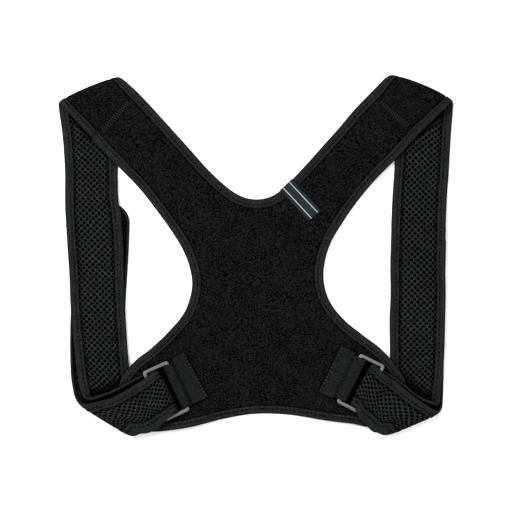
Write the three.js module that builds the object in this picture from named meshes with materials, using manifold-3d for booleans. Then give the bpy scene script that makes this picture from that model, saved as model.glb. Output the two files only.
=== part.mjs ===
import * as THREE from "three";
import { mergeVertices } from "three/addons/utils/BufferGeometryUtils.js";
import Module from "manifold-3d";

// Posture corrector lying on its inner face: an X-shaped back panel whose arms fold over at
// the shoulders into padded straps. Each strap runs down, folds to the side, passes up through
// a ring that the wing of the panel holds, and doubles back to lie under itself.
// Millimetres, +Z up, +Y toward the shoulders, +X to the right of someone who looks down on it.

// Driving dimensions
const halfSpan = 196.7;
const bodyLength = 359;
const clearance = 0.3;

const panelThickness = 3;
const wingRise = 54;

const strapWidth = 54;
const strapThickness = 3.2;
const meshThickness = 0.9;
const shoulderRoll = 5.4;
const tailCorner = 20;

const tapeWidth = 10;
const tapeWall = 0.6;
const hemTapeWidth = 8.4;

const ringLength = 54.5;
const ringWidth = 28;
const ringBar = 3.4;
const ringThickness = 2.6;
const ringCorner = 3;
const ringEdge = 0.5;
const ringPlay = 0.6;

const webbingThickness = 1.2;
const webbingWidth = 46.5;
const slotGap = 3.9;
const tabStitch = 3.6;

const hookThickness = 1;
const hookLength = 32;
const hookWidth = 30;
const hookInset = 10;

const labelLength = 41;
const labelWidth = 13;
const labelThickness = 0.6;

// How finely the curves are stepped
const foldSteps = 6;
const cornerSteps = 3;
const tapeSteps = 2;

// Heights that one layer adds to what lies on it
const strapPitch = strapThickness + clearance;
const panelPitch = panelThickness + clearance;
const padPitch = hookThickness + clearance;
const barPitch = ringThickness + clearance + ringPlay;
const tongueHalf = strapThickness / 2 - tapeWall - clearance;

// Turns rows under named columns into objects
function table(columns, rows) {
  const names = columns.split(" ");
  return rows.map((row) => Object.fromEntries(names.map((name, i) => [name, row[i]])));
}

// Each strap is five legs between four folds: arm, front, return, doubled back and under.
// A row is one section of the strap. out and up place its middle as shares of the half span
// and the body length, lean is the angle of the section in degrees, wide its length as a share
// of the strap width, and bow how far its middle bulges along the strap, in strap widths.
// straps, pads and wings count the layers that lie below it there.
const placed = "out up lean wide bow straps pads wings";

// Rows at the ring are given from the ring's middle: reach and slip are shares of the ring
// width across and along the ring, turn is added to the ring's own angle, and grip tells how
// far the strap is narrowed to pass between the short bars.
const threaded = "reach slip turn grip";

// The wing and its neighbours: ribs run from the arm hole to the outer edge of the panel, and
// both ends are shares of the half span and the body length.
const ribColumns = "holeOut holeUp edgeOut edgeUp";

const sides = [
  {
    name: "left",
    sign: -1,
    ring: { out: 0.456, up: -0.377, lean: 65.4, bend: -0.1, full: 0.15, tab: 0.9 },
    arm: table(placed, [
      [0.719, 0.391, -44, 1.18, 0, 0, 0, 0],
      [0.827, 0.451, -22, 1.17, 0.04, 0, 0, 0],
    ]),
    front: table(placed, [
      [0.852, 0.445, -22, 1.15, -0.04, 0, 0, 0],
      [0.844, 0.354, -11, 1.04, 0, 0, 0, 0],
      [0.837, 0.244, -2, 0.98, 0, 0, 0, 0],
      [0.834, 0.157, 0, 0.99, 0, 1, 0, 0],
      [0.828, 0.127, 0, 1.02, 0, 1, 1, 0],
      [0.816, 0.029, 0, 1.03, 0, 1, 1, 0],
      [0.81, -0.043, 0, 1.01, 0, 1, 0, 0],
      [0.802, -0.149, 0, 1.01, 0, 1, 0, 0],
      [0.785, -0.266, 0, 0.98, 0, 1, 0, 0],
      [0.767, -0.352, 11, 0.98, 0, 1, 0, 0],
      [0.744, -0.417, 33, 1.15, 0, 1, 0, 0],
    ]),
    back: table(placed, [
      [0.713, -0.428, 33, 1.14, 0, 2, 0, 1],
      [0.638, -0.421, 41, 0.93, 0, 2, 0, 1],
    ]),
    enter: table(threaded, [[0.64, 0, -1, 0.9]]),
    leave: table(threaded, [[0.6, 0.17, 0, 0.8]]),
    doubled: table(placed, [
      [0.568, -0.425, 53, 0.9, 0, 3, 0, 1],
      [0.638, -0.444, 41, 0.93, 0, 3, 0, 1],
      [0.724, -0.447, 33, 1.08, 0, 3, 0, 1],
    ]),
    under: table(placed, [
      [0.777, -0.428, 33, 1.11, 0, 0, 0, 0],
      [0.803, -0.358, 15, 1.03, 0, 0, 0, 0],
      [0.808, -0.249, 2, 1, 0, 0, 0, 0],
      [0.801, -0.121, 0, 1.01, 0, 0, 0, 0],
      [0.786, 0.018, 0, 1.01, 0, 0, 0, 0],
      [0.777, 0.148, 0, 1, 0, 0, 0, 0],
    ]),
    ribs: table(ribColumns, [
      [0.78, 0.294, 0.546, 0.421],
      [0.699, 0.249, 0.46, 0.369],
      [0.592, 0.188, 0.348, 0.301],
      [0.49, 0.116, 0.236, 0.234],
      [0.424, 0.065, 0.134, 0.185],
      [0.373, 0.018, 0.068, 0.166],
      [0.338, -0.032, 0, 0.159],
      [0.327, -0.085, 0, -0.038],
      [0.363, -0.152, 0, -0.233],
      [0.439, -0.205, 0, -0.437],
      [0.541, -0.258, 0.16, -0.45],
      [0.612, -0.288, 0.338, -0.474],
      [0.678, -0.333, 0.516, -0.486],
      [0.697, -0.365, 0.56, -0.484],
    ]),
  },
  {
    name: "right",
    sign: 1,
    ring: { out: 0.527, up: -0.358, lean: 63.7, bend: -0.025, full: 0, tab: 1.05 },
    arm: table(placed, [
      [0.705, 0.398, -41, 1.15, 0, 0, 0, 0],
      [0.82, 0.451, -24, 1.16, 0.07, 0, 0, 0],
    ]),
    front: table(placed, [
      [0.844, 0.445, -24, 1.16, -0.07, 0, 0, 0],
      [0.845, 0.348, -13, 1.05, 0, 0, 0, 0],
      [0.836, 0.228, -1, 1.01, 0, 0, 0, 0],
      [0.83, 0.185, 0, 1.01, 0, 0, 0, 0],
      [0.825, 0.099, 0, 1.01, 0, 1, 0, 0],
      [0.824, 0.068, 0, 1.01, 0, 1, 1, 0],
      [0.82, -0.032, 0, 1.02, 0, 1, 1, 0],
      [0.819, -0.099, 0, 1.02, 0, 1, 0, 0],
      [0.815, -0.177, 0, 1.03, 0, 1, 0, 0],
      [0.814, -0.26, 0, 1.01, 0, 1, 0, 0],
      [0.815, -0.352, 7, 0.98, 0, 1, 0, 0],
      [0.815, -0.423, 26, 1.06, 0, 1, 0, 0],
    ]),
    back: table(placed, [
      [0.782, -0.434, 28, 1.06, 0, 2, 0, 1],
      [0.717, -0.422, 38, 0.96, 0, 2, 0, 1],
      [0.646, -0.393, 52, 1, 0, 2, 0, 1],
    ]),
    enter: [],
    leave: table(threaded, [[0.6, 0.13, -5, 0.8]]),
    doubled: table(placed, [
      [0.627, -0.403, 55, 0.98, 0, 3, 0, 1],
      [0.689, -0.434, 41, 0.98, 0, 3, 0, 1],
      [0.757, -0.452, 22, 1.02, 0, 3, 0, 1],
    ]),
    under: table(placed, [
      [0.814, -0.439, 22, 1.03, 0, 0, 0, 0],
      [0.814, -0.358, 11, 1, 0, 0, 0, 0],
      [0.815, -0.249, 2, 1, 0, 0, 0, 0],
      [0.821, -0.121, 0, 1, 0, 0, 0, 0],
      [0.829, 0.018, 0, 1, 0, 0, 0, 0],
      [0.832, 0.091, 0, 1, 0, 0, 0, 0],
    ]),
    ribs: table(ribColumns, [
      [0.771, 0.309, 0.501, 0.408],
      [0.694, 0.263, 0.415, 0.352],
      [0.603, 0.213, 0.328, 0.299],
      [0.501, 0.145, 0.232, 0.241],
      [0.43, 0.088, 0.125, 0.184],
      [0.379, 0.04, 0.069, 0.166],
      [0.349, -0.01, 0, 0.159],
      [0.341, -0.065, 0, -0.038],
      [0.369, -0.121, 0, -0.233],
      [0.44, -0.173, 0, -0.437],
      [0.542, -0.219, 0.171, -0.44],
      [0.628, -0.255, 0.349, -0.455],
      [0.725, -0.316, 0.496, -0.465],
      [0.748, -0.338, 0.557, -0.472],
      [0.753, -0.355, 0.596, -0.469],
    ]),
  },
];

// The middle of the neck and of the hem are ribs of both halves
const neckRib = 6;
const hemRib = 9;

// The small label sits on the neck edge, at a share of its way from the left arm to the right
const labelShare = 0.612;

const colours = {
  panel: 0x17191a,
  tape: 0x2a2d2d,
  pad: 0x16181a,
  mesh: 0x303332,
  ring: 0x9a9b9b,
  webbing: 0x2b2d2d,
  hook: 0x1d1f20,
  label: 0x344047,
};

const { smoothstep, lerp, clamp, degToRad } = THREE.MathUtils;
const upward = new THREE.Vector3(0, 0, 1);

// Closed solids

// Joins equal rings of points into one closed body. outline is the flat shape of a ring.
function loft(rings, outline) {
  const count = rings[0].length;
  const points = rings.flat();
  const faces = [];
  for (let i = 0; i < rings.length - 1; i++) {
    for (let j = 0; j < count; j++) {
      const a = i * count + j;
      const b = i * count + ((j + 1) % count);
      faces.push([a, b, b + count], [a, b + count, a + count]);
    }
  }
  const last = (rings.length - 1) * count;
  const clockwise = THREE.ShapeUtils.isClockWise(outline);
  for (const face of THREE.ShapeUtils.triangulateShape(outline, [])) {
    const [a, b, c] = clockwise ? [...face].reverse() : face;
    faces.push([c, b, a], [a + last, b + last, c + last]);
  }
  return body(points, faces);
}

// A geometry from points and faces, turned so that its faces point out
function body(points, faces) {
  let volume = 0;
  for (const [a, b, c] of faces) {
    volume += points[a].dot(new THREE.Vector3().crossVectors(points[b], points[c]));
  }
  const order = volume > 0 ? [0, 1, 2] : [0, 2, 1];
  const geometry = new THREE.BufferGeometry();
  const positions = points.flatMap((p) => [p.x, p.y, p.z]);
  geometry.setAttribute("position", new THREE.Float32BufferAttribute(positions, 3));
  geometry.setIndex(faces.flatMap((face) => order.map((k) => face[k])));
  return geometry;
}

const wasm = await Module();
wasm.setup();

function toSolid(geometry) {
  const bare = geometry.clone();
  bare.deleteAttribute("normal");
  bare.deleteAttribute("uv");
  const merged = mergeVertices(bare, 1e-4);
  const vertProperties = new Float32Array(merged.attributes.position.array);
  const triVerts = new Uint32Array(merged.index.array);
  return new wasm.Manifold(new wasm.Mesh({ numProp: 3, vertProperties, triVerts }));
}

function fromSolid(solid) {
  const mesh = solid.getMesh();
  const geometry = new THREE.BufferGeometry();
  geometry.setAttribute("position", new THREE.BufferAttribute(mesh.vertProperties, 3));
  geometry.setIndex(new THREE.BufferAttribute(mesh.triVerts, 1));
  return geometry;
}

const group = new THREE.Group();

function addPiece(name, geometry, colour, roughness, metalness = 0) {
  geometry.computeVertexNormals();
  const material = new THREE.MeshStandardMaterial({ color: colour, roughness, metalness });
  const mesh = new THREE.Mesh(geometry, material);
  mesh.name = name;
  group.add(mesh);
}

// Where things lie

function bodyPoint(side, out, up) {
  return new THREE.Vector3(side.sign * out * halfSpan, up * bodyLength, 0);
}

function leanVector(side, degrees) {
  const angle = degToRad(degrees);
  return new THREE.Vector3(side.sign * Math.cos(angle), Math.sin(angle), 0);
}

// The ring's frame in plan: its middle, the way out from the back and the way along it
function ringFrame(side) {
  const along = leanVector(side, side.ring.lean);
  const outward = new THREE.Vector3(side.sign * along.y, -side.sign * along.x, 0);
  if (outward.x * side.sign < 0) outward.negate();
  return { middle: bodyPoint(side, side.ring.out, side.ring.up), along, outward };
}

function ringPoint(side, across, along) {
  const frame = ringFrame(side);
  return frame.middle.clone().addScaledVector(frame.outward, across).addScaledVector(frame.along, along);
}

// Height of the middle of a layer from the layers below it
function layerHeight(row) {
  return strapThickness / 2 + row.straps * strapPitch + row.pads * padPitch + row.wings * panelPitch;
}

// The wing climbs on to the doubled strap, straight toward the ring
const wingTop = panelThickness / 2 + 2 * strapPitch;

function wingHeight(side, across) {
  const full = side.ring.full * ringWidth;
  const climb = clamp((across - full) / wingRise + 1, 0, 1);
  return lerp(panelThickness / 2, wingTop, climb);
}

// The arm drops from the shoulder roll, clears the strap under it and lies down on the back
const rollTop = strapThickness / 2 + 2 * shoulderRoll;
const armOver = strapThickness * 1.5 + clearance;

function armHeight(distance) {
  const resting = smoothstep(distance, 1.6 * strapWidth, 2.1 * strapWidth);
  const clear = lerp(armOver, panelThickness / 2, resting);
  return clear + (rollTop - armOver) * (1 - smoothstep(distance, 0, 0.9 * strapWidth));
}

function panelHeight(side, point) {
  const frame = ringFrame(side);
  const across = point.clone().sub(frame.middle).dot(frame.outward);
  const fold = side.arm[side.arm.length - 1];
  const inward = leanVector(side, fold.lean - 90);
  const away = point.clone().sub(bodyPoint(side, fold.out, fold.up)).dot(inward);
  const lower = smoothstep(-point.y, 0, 0.2 * bodyLength);
  const lift = (wingHeight(side, across) - panelThickness / 2) * lower;
  return armHeight(Math.max(away, 0)) + lift;
}

// The straps

const entryHeight = layerHeight({ straps: 2, pads: 0, wings: 1 });
const exitHeight = entryHeight + strapThickness + barPitch + clearance;
const gripWidth = ringLength - 2 * ringBar - 2 * ringPlay;
const bendRoll = (exitHeight - entryHeight) / 2;

function placedSection(side, row) {
  const along = leanVector(side, row.lean);
  const middle = bodyPoint(side, row.out, row.up);
  const half = (row.wide * strapWidth) / 2;
  return { middle, along, half, bow: row.bow * strapWidth, height: layerHeight(row) };
}

function threadedSection(side, row, height) {
  const along = leanVector(side, side.ring.lean + row.turn);
  const middle = ringPoint(side, row.reach * ringWidth, -row.slip * ringWidth);
  const half = lerp(strapWidth, gripWidth, row.grip) / 2;
  return { middle, along, half, bow: 0, height };
}

// Sections of one leg, with plan curves through the rows and heights eased between them
function legFrames(sections, meshUp, steps, heightAt) {
  const ends = [1, -1].map((way) =>
    new THREE.CatmullRomCurve3(
      sections.map((s) => s.middle.clone().addScaledVector(s.along, way * s.half)),
      false,
      "centripetal"
    )
  );
  const frames = [];
  const last = sections.length - 1;
  for (let i = 0; i <= last; i++) {
    for (let j = 0; j < (i < last ? steps : 1); j++) {
      const share = j / steps;
      const t = last > 0 ? (i + share) / last : 0;
      const [a, b] = ends.map((curve) => curve.getPoint(t));
      const next = sections[Math.min(i + 1, last)];
      const height = lerp(sections[i].height, next.height, smoothstep(share, 0, 1));
      a.z = heightAt ? heightAt(a) : height;
      b.z = heightAt ? heightAt(b) : height;
      frames.push({ a, b, bow: lerp(sections[i].bow, next.bow, share) });
    }
  }
  frames.forEach((frame, i) => {
    const before = frames[Math.max(i - 1, 0)];
    const after = frames[Math.min(i + 1, frames.length - 1)];
    const middle = (f) => f.a.clone().add(f.b).multiplyScalar(0.5);
    const travel = middle(after).sub(middle(before));
    if (i === 0 || i === frames.length - 1) travel.z = 0;
    const across = frame.a.clone().sub(frame.b);
    frame.normal = across.clone().cross(travel).normalize();
    if (frame.normal.z > 0 !== meshUp) frame.normal.negate();
    const way = across.clone().cross(upward).normalize();
    if (way.dot(travel) < 0) way.negate();
    frame.bulge = way.multiplyScalar(frame.bow);
    frame.travel = travel.normalize();
  });
  return frames;
}

// The half turn between the last section of one leg and the first of the next
function foldFrames(from, to) {
  const frames = [];
  const middle = (f) => f.a.clone().add(f.b).multiplyScalar(0.5);
  const across = from.a.clone().sub(from.b).normalize().add(to.a.clone().sub(to.b).normalize());
  const outward = across.clone().cross(upward).normalize();
  if (outward.dot(from.travel) < 0) outward.negate();
  const rise = (middle(to).z - middle(from).z) / 2;
  const inside = from.normal.z * rise > 0 ? -1 : 1;
  for (let k = 1; k < foldSteps; k++) {
    const angle = (Math.PI * k) / foldSteps;
    const place = (start, end) => {
      const point = start.clone().lerp(end, k / foldSteps);
      point.addScaledVector(outward, Math.abs(rise) * Math.sin(angle));
      point.z = lerp(start.z, end.z, (1 - Math.cos(angle)) / 2);
      return point;
    };
    const normal = upward.clone().multiplyScalar(Math.sign(from.normal.z) * Math.cos(angle));
    normal.addScaledVector(outward, inside * Math.sin(angle)).normalize();
    const bulge = from.bulge.clone().lerp(to.bulge, k / foldSteps);
    frames.push({ a: place(from.a, to.a), b: place(from.b, to.b), normal, bulge });
  }
  return frames;
}

// The whole strap as one list of frames with the length s along its middle
function strapPath(side) {
  const bend = side.ring.bend * ringWidth + bendRoll + strapThickness / 2;
  const turned = { reach: bend / ringWidth, slip: 0, turn: -2, grip: 1 };
  const legs = [
    legFrames(side.arm.map((row) => placedSection(side, row)), false, 3, (point) =>
      panelHeight(side, point)
    ),
    legFrames(side.front.map((row) => placedSection(side, row)), true, 1),
    legFrames(
      [
        ...side.back.map((row) => placedSection(side, row)),
        ...side.enter.map((row) => threadedSection(side, row, entryHeight)),
        threadedSection(side, turned, entryHeight),
      ],
      false,
      1
    ),
    legFrames(
      [
        threadedSection(side, turned, exitHeight),
        ...side.leave.map((row) => threadedSection(side, row, exitHeight)),
        ...side.doubled.map((row) => placedSection(side, row)),
      ],
      true,
      1
    ),
    legFrames(side.under.map((row) => placedSection(side, row)), false, 1),
  ];
  const frames = [...legs[0]];
  for (let i = 1; i < legs.length; i++) {
    frames.push(...foldFrames(legs[i - 1][legs[i - 1].length - 1], legs[i][0]), ...legs[i]);
  }
  let s = 0;
  frames.forEach((frame, i) => {
    frame.middle = frame.a.clone().add(frame.b).multiplyScalar(0.5);
    if (i > 0) s += frame.middle.distanceTo(frames[i - 1].middle);
    frame.s = s;
  });
  return frames;
}

// A point of the strap: s along it, q across it and h toward its mesh face
function strapPoint(frames, s, q, h) {
  let i = 0;
  while (i < frames.length - 2 && frames[i + 1].s < s) i++;
  const one = frames[i];
  const two = frames[i + 1];
  const share = (s - one.s) / (two.s - one.s);
  const place = (frame) => {
    const across = frame.a.clone().sub(frame.b).multiplyScalar(q / strapWidth);
    const bulge = frame.bulge.clone().multiplyScalar(1 - Math.abs(2 * q) / strapWidth);
    return frame.middle.clone().add(across).add(bulge);
  };
  const normal = one.normal.clone().lerp(two.normal, share).normalize();
  return place(one).lerp(place(two), share).addScaledVector(normal, h);
}

// Half width of the strap at s, drawn in by an inset, with the rounded corners of its free end
function halfWidth(length, s, inset) {
  const into = Math.max(s - (length - tailCorner), 0);
  const corner = tailCorner - inset;
  return strapWidth / 2 - tailCorner + Math.sqrt(Math.max(corner ** 2 - into ** 2, 0));
}

// Places along the strap where it needs a section, up to an inset from the free end
function strapStops(frames, inset) {
  const length = frames[frames.length - 1].s;
  const stops = frames.map((frame) => frame.s).filter((s) => s < length - tailCorner - 1);
  const corner = tailCorner - inset;
  for (let k = 0; k <= cornerSteps; k++) {
    stops.push(length - tailCorner + corner * Math.sin((Math.PI / 2) * (k / cornerSteps)));
  }
  return stops;
}

// A flat band of the strap between two levels, drawn in from its edges by an inset
function strapBand(frames, inset, low, high) {
  const length = frames[frames.length - 1].s;
  const rings = strapStops(frames, inset).map((s) => {
    const half = halfWidth(length, s, inset);
    const corners = [[-half, low], [0, low], [half, low], [half, high], [0, high], [-half, high]];
    return corners.map(([q, h]) => strapPoint(frames, s, q, h));
  });
  const outline = [[-2, 0], [0, 0], [2, 0], [2, 1], [0, 1], [-2, 1]];
  return loft(rings, outline.map(([x, y]) => new THREE.Vector2(x, y)));
}

// The folded edge tape is a C that holds a thin edge. e runs in from the edge, h is the height.
function tapeProfile(width, half, hold) {
  const slot = hold + clearance;
  return [
    [0, -half], [width, -half], [width, -slot], [tapeWall, -slot],
    [tapeWall, slot], [width, slot], [width, half], [0, half],
  ].map(([e, h]) => new THREE.Vector2(e, h));
}

// The tape of a strap runs up one edge, round the free end and down the other edge
function strapTape(frames) {
  const length = frames[frames.length - 1].s;
  const profile = tapeProfile(tapeWidth, strapThickness / 2, tongueHalf);
  const straight = frames.map((frame) => frame.s).filter((s) => s < length - tailCorner - 1);
  const route = straight.map((s) => ({ s, q: strapWidth / 2, ns: 0, nq: -1 }));
  for (let k = 0; k <= cornerSteps; k++) {
    const angle = (Math.PI / 2) * (k / cornerSteps);
    const s = length - tailCorner + tailCorner * Math.sin(angle);
    const q = strapWidth / 2 - tailCorner + tailCorner * Math.cos(angle);
    route.push({ s, q, ns: -Math.sin(angle), nq: -Math.cos(angle) });
  }
  const back = route.map(({ s, q, ns, nq }) => ({ s, q: -q, ns, nq: -nq })).reverse();
  const rings = [...route, ...back].map(({ s, q, ns, nq }) =>
    profile.map((p) => strapPoint(frames, s + ns * p.x, q + nq * p.x, p.y))
  );
  return loft(rings, profile);
}

// The core is full thickness between the tapes and a thin edge inside them
function strapCore(frames) {
  const face = strapThickness / 2 - meshThickness - clearance;
  const edge = strapBand(frames, tapeWall + clearance, -tongueHalf, face);
  const fill = strapBand(frames, tapeWidth + clearance, -strapThickness / 2, face - 0.1);
  return fromSolid(toSolid(edge).add(toSolid(fill)));
}

function strapMesh(frames) {
  const top = strapThickness / 2;
  return strapBand(frames, tapeWidth + clearance, top - meshThickness, top);
}

// The hidden grip pad lies on the free end, under the front of the strap
function hookPad(frames) {
  const end = frames[frames.length - 1].s - hookInset;
  const low = -strapThickness / 2 - clearance;
  const rings = [end - hookLength, end].map((s) =>
    [[-1, 0], [1, 0], [1, -1], [-1, -1]].map(([x, y]) =>
      strapPoint(frames, s, (x * hookWidth) / 2, low + y * hookThickness)
    )
  );
  const outline = [[-1, 0], [1, 0], [1, -1], [-1, -1]];
  return loft(rings, outline.map(([x, y]) => new THREE.Vector2(x, y)));
}

// The back panel

// Ends of a rib: where it meets the arm hole and where it meets the neck, the middle or the hem
function ribEnds(side, path) {
  const first = path[0];
  const inward = first.travel.clone().multiplyScalar(-clearance);
  const seam = { hole: first.a.clone().add(inward), edge: first.b.clone().add(inward) };
  const rest = side.ribs.map((rib) => ({
    hole: bodyPoint(side, rib.holeOut, rib.holeUp),
    edge: bodyPoint(side, rib.edgeOut, rib.edgeUp),
  }));
  return [seam, ...rest].map(({ hole, edge }) => ({ hole: hole.setZ(0), edge: edge.setZ(0) }));
}

// A smooth run along an edge of the panel, with the way in from the edge at each step. At both
// ends that way runs along the last rib, so that neighbours meet there face to face.
function edgeRun(points, inside, ends) {
  const curve = new THREE.CatmullRomCurve3(points, false, "centripetal");
  const count = (points.length - 1) * tapeSteps;
  const run = [];
  for (let i = 0; i <= count; i++) {
    const tangent = curve.getTangent(i / count).setZ(0).normalize();
    run.push({ point: curve.getPoint(i / count), way: tangent.cross(upward).multiplyScalar(inside) });
  }
  run[0].way = ends[0].clone().sub(run[0].point).normalize();
  run[count].way = ends[1].clone().sub(run[count].point).normalize();
  return run;
}

function sweepRun(run, profile) {
  const rings = run.map(({ point, way }) => {
    const side = point.x < 0 ? sides[0] : sides[1];
    const base = point.clone().setZ(panelHeight(side, point));
    const ahead = point.clone().add(way);
    const slope = panelHeight(side, ahead) - base.z;
    const inward = way.clone().setZ(slope).normalize();
    const tangent = way.clone().cross(upward);
    const beside = point.clone().add(tangent);
    const climb = tangent.clone().setZ(panelHeight(side, beside) - base.z).normalize();
    const normal = climb.cross(inward).normalize();
    if (normal.z < 0) normal.negate();
    return profile.map((p) => base.clone().addScaledVector(inward, p.x).addScaledVector(normal, p.y));
  });
  return loft(rings, profile);
}

// What is cut away from the panel so that a thin edge is left for the tape to hold
function grooveProfile(width, hold) {
  const reach = panelThickness * 2;
  const depth = width + clearance;
  const edge = tapeWall + clearance;
  return [
    [-reach, -reach], [depth, -reach], [depth, -hold], [edge, -hold],
    [edge, hold], [depth, hold], [depth, reach], [-reach, reach],
  ].map(([e, h]) => new THREE.Vector2(e, h));
}

// The uncut panel: both halves meet along the middle of the back
function panelBlank(ribSets) {
  const across = [0, 1 / 3, 2 / 3, 1];
  const spare = panelThickness;
  const points = [];
  const faces = [];
  const index = new Map();
  const vertex = (side, point, level) => {
    const z = panelHeight(side, point) + (level * panelThickness) / 2;
    const key = [point.x.toFixed(3), point.y.toFixed(3), level].join();
    if (!index.has(key)) {
      index.set(key, points.length);
      points.push(point.clone().setZ(z));
    }
    return index.get(key);
  };
  const quad = (a, b, c, d) => faces.push([a, b, c], [a, c, d]);
  sides.forEach((side, k) => {
    const outer = ribSets[k].map(({ hole, edge }, i) => {
      const way = edge.clone().sub(hole).normalize();
      const start = hole.clone().addScaledVector(way, -spare);
      const end = edge.clone();
      const rib = i - 1;
      if (rib < neckRib || rib > hemRib) end.addScaledVector(way, spare);
      if (rib === neckRib) end.y += spare;
      if (rib === hemRib) end.y -= spare;
      return { start, end };
    });
    const ribs = outer.flatMap((rib, i) => {
      if (i - 1 < hemRib || i === outer.length - 1) return [rib];
      const start = rib.start.clone().lerp(outer[i + 1].start, 0.5);
      return [rib, { start, end: rib.end.clone().lerp(outer[i + 1].end, 0.5) }];
    });
    const grid = ribs.map(({ start, end }) => {
      return across.map((share) => {
        const point = start.clone().lerp(end, share);
        return [vertex(side, point, 1), vertex(side, point, -1)];
      });
    });
    const turn = (a, b, c, d) => (side.sign > 0 ? quad(a, b, c, d) : quad(d, c, b, a));
    const last = across.length - 1;
    for (let i = 0; i < grid.length - 1; i++) {
      for (let j = 0; j < last; j++) {
        const [p, q, r, s] = [grid[i][j], grid[i + 1][j], grid[i + 1][j + 1], grid[i][j + 1]];
        turn(p[0], s[0], r[0], q[0]);
        turn(p[1], q[1], r[1], s[1]);
      }
      turn(grid[i][0][0], grid[i + 1][0][0], grid[i + 1][0][1], grid[i][0][1]);
      const rib = i - 1;
      if (rib < neckRib || rib >= hemRib) {
        turn(grid[i][last][0], grid[i][last][1], grid[i + 1][last][1], grid[i + 1][last][0]);
      }
    }
    for (const [row, flip] of [[grid[0], 1], [grid[grid.length - 1], 0]]) {
      for (let j = 0; j < last; j++) {
        const [p, s] = [row[j], row[j + 1]];
        if (flip) turn(p[0], p[1], s[1], s[0]);
        else turn(p[0], s[0], s[1], p[1]);
      }
    }
  });
  return body(points, faces);
}

function buildPanel(paths) {
  const ribSets = sides.map((side, k) => ribEnds(side, paths[k]));
  const [left, right] = ribSets;
  const edges = (set, from, to) => set.slice(from, to).map((rib) => rib.edge);
  const neck = [...edges(left, 0, neckRib + 2), ...edges(right, 0, neckRib + 1).reverse()];
  const hem = [...edges(left, hemRib + 1, left.length).reverse(), ...edges(right, hemRib + 2, right.length)];
  const tips = [left[left.length - 1], right[right.length - 1]];
  const runs = {
    neck_binding: { run: edgeRun(neck, 1, [left[0].hole, right[0].hole]), width: tapeWidth },
    hem_binding: { run: edgeRun(hem, -1, tips.map((tip) => tip.hole)), width: hemTapeWidth },
  };
  sides.forEach((side, k) => {
    const hole = ribSets[k].map((rib) => rib.hole);
    const ends = [ribSets[k][0].edge, tips[k].edge];
    runs[`armhole_binding_${side.name}`] = { run: edgeRun(hole, side.sign, ends), width: tapeWidth };
  });
  const hold = panelThickness / 2 - tapeWall - clearance;
  let panel = toSolid(panelBlank(ribSets));
  for (const [name, { run, width }] of Object.entries(runs)) {
    const first = run[0];
    const last = run[run.length - 1];
    const ahead = (end, next) => ({
      point: end.point.clone().add(end.point.clone().sub(next.point).setLength(tapeWidth)),
      way: end.way,
    });
    const longer = [ahead(first, run[1]), ...run, ahead(last, run[run.length - 2])];
    panel = panel.subtract(toSolid(sweepRun(longer, grooveProfile(width, hold))));
    const tape = tapeProfile(width, panelThickness / 2, hold);
    addPiece(name, sweepRun(run, tape), colours.tape, 0.9);
  }
  addPiece("back_panel", fromSolid(panel), colours.panel, 0.95);
  return neck;
}

// The rings and what holds them

// The flat frame of a ring, tilted so that one long bar lies between the strap's two legs and
// the other in the roll of its webbing
function ringLevels(side) {
  const arm = (ringWidth - ringBar) / 2;
  const tip = side.ring.bend * ringWidth - slotGap;
  const rollFloor = wingHeight(side, tip) + panelThickness / 2 + clearance + webbingThickness;
  const inner = rollFloor + clearance + (ringThickness + ringPlay) / 2;
  const outer = (entryHeight + exitHeight) / 2;
  return { arm, tip, inner, outer, tilt: Math.atan2(outer - inner, 2 * arm) };
}

function roundedRectangle(path, width, height, corner) {
  const x = width / 2;
  const y = height / 2;
  path.moveTo(-x + corner, -y);
  path.lineTo(x - corner, -y);
  path.absarc(x - corner, -y + corner, corner, -Math.PI / 2, 0);
  path.lineTo(x, y - corner);
  path.absarc(x - corner, y - corner, corner, 0, Math.PI / 2);
  path.lineTo(-x + corner, y);
  path.absarc(-x + corner, y - corner, corner, Math.PI / 2, Math.PI);
  path.lineTo(-x, -y + corner);
  path.absarc(-x + corner, -y + corner, corner, Math.PI, 1.5 * Math.PI);
  return path;
}

function ringGeometry(side) {
  const shape = roundedRectangle(new THREE.Shape(), ringWidth, ringLength, ringCorner);
  const slot = [ringWidth - 2 * ringBar, ringLength - 2 * ringBar];
  shape.holes.push(roundedRectangle(new THREE.Path(), slot[0], slot[1], ringCorner / 3));
  const geometry = new THREE.ExtrudeGeometry(shape, {
    depth: ringThickness - 2 * ringEdge,
    bevelEnabled: true,
    bevelThickness: ringEdge,
    bevelSize: ringEdge,
    bevelOffset: -ringEdge,
    bevelSegments: 1,
    curveSegments: 3,
  });
  geometry.translate(0, 0, ringEdge - ringThickness / 2);
  const { middle, outward } = ringFrame(side);
  const { inner, outer, tilt } = ringLevels(side);
  const spin = Math.atan2(outward.y, outward.x);
  geometry.rotateY(-tilt);
  geometry.rotateZ(spin);
  geometry.translate(middle.x, middle.y, (inner + outer) / 2);
  return geometry;
}

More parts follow.
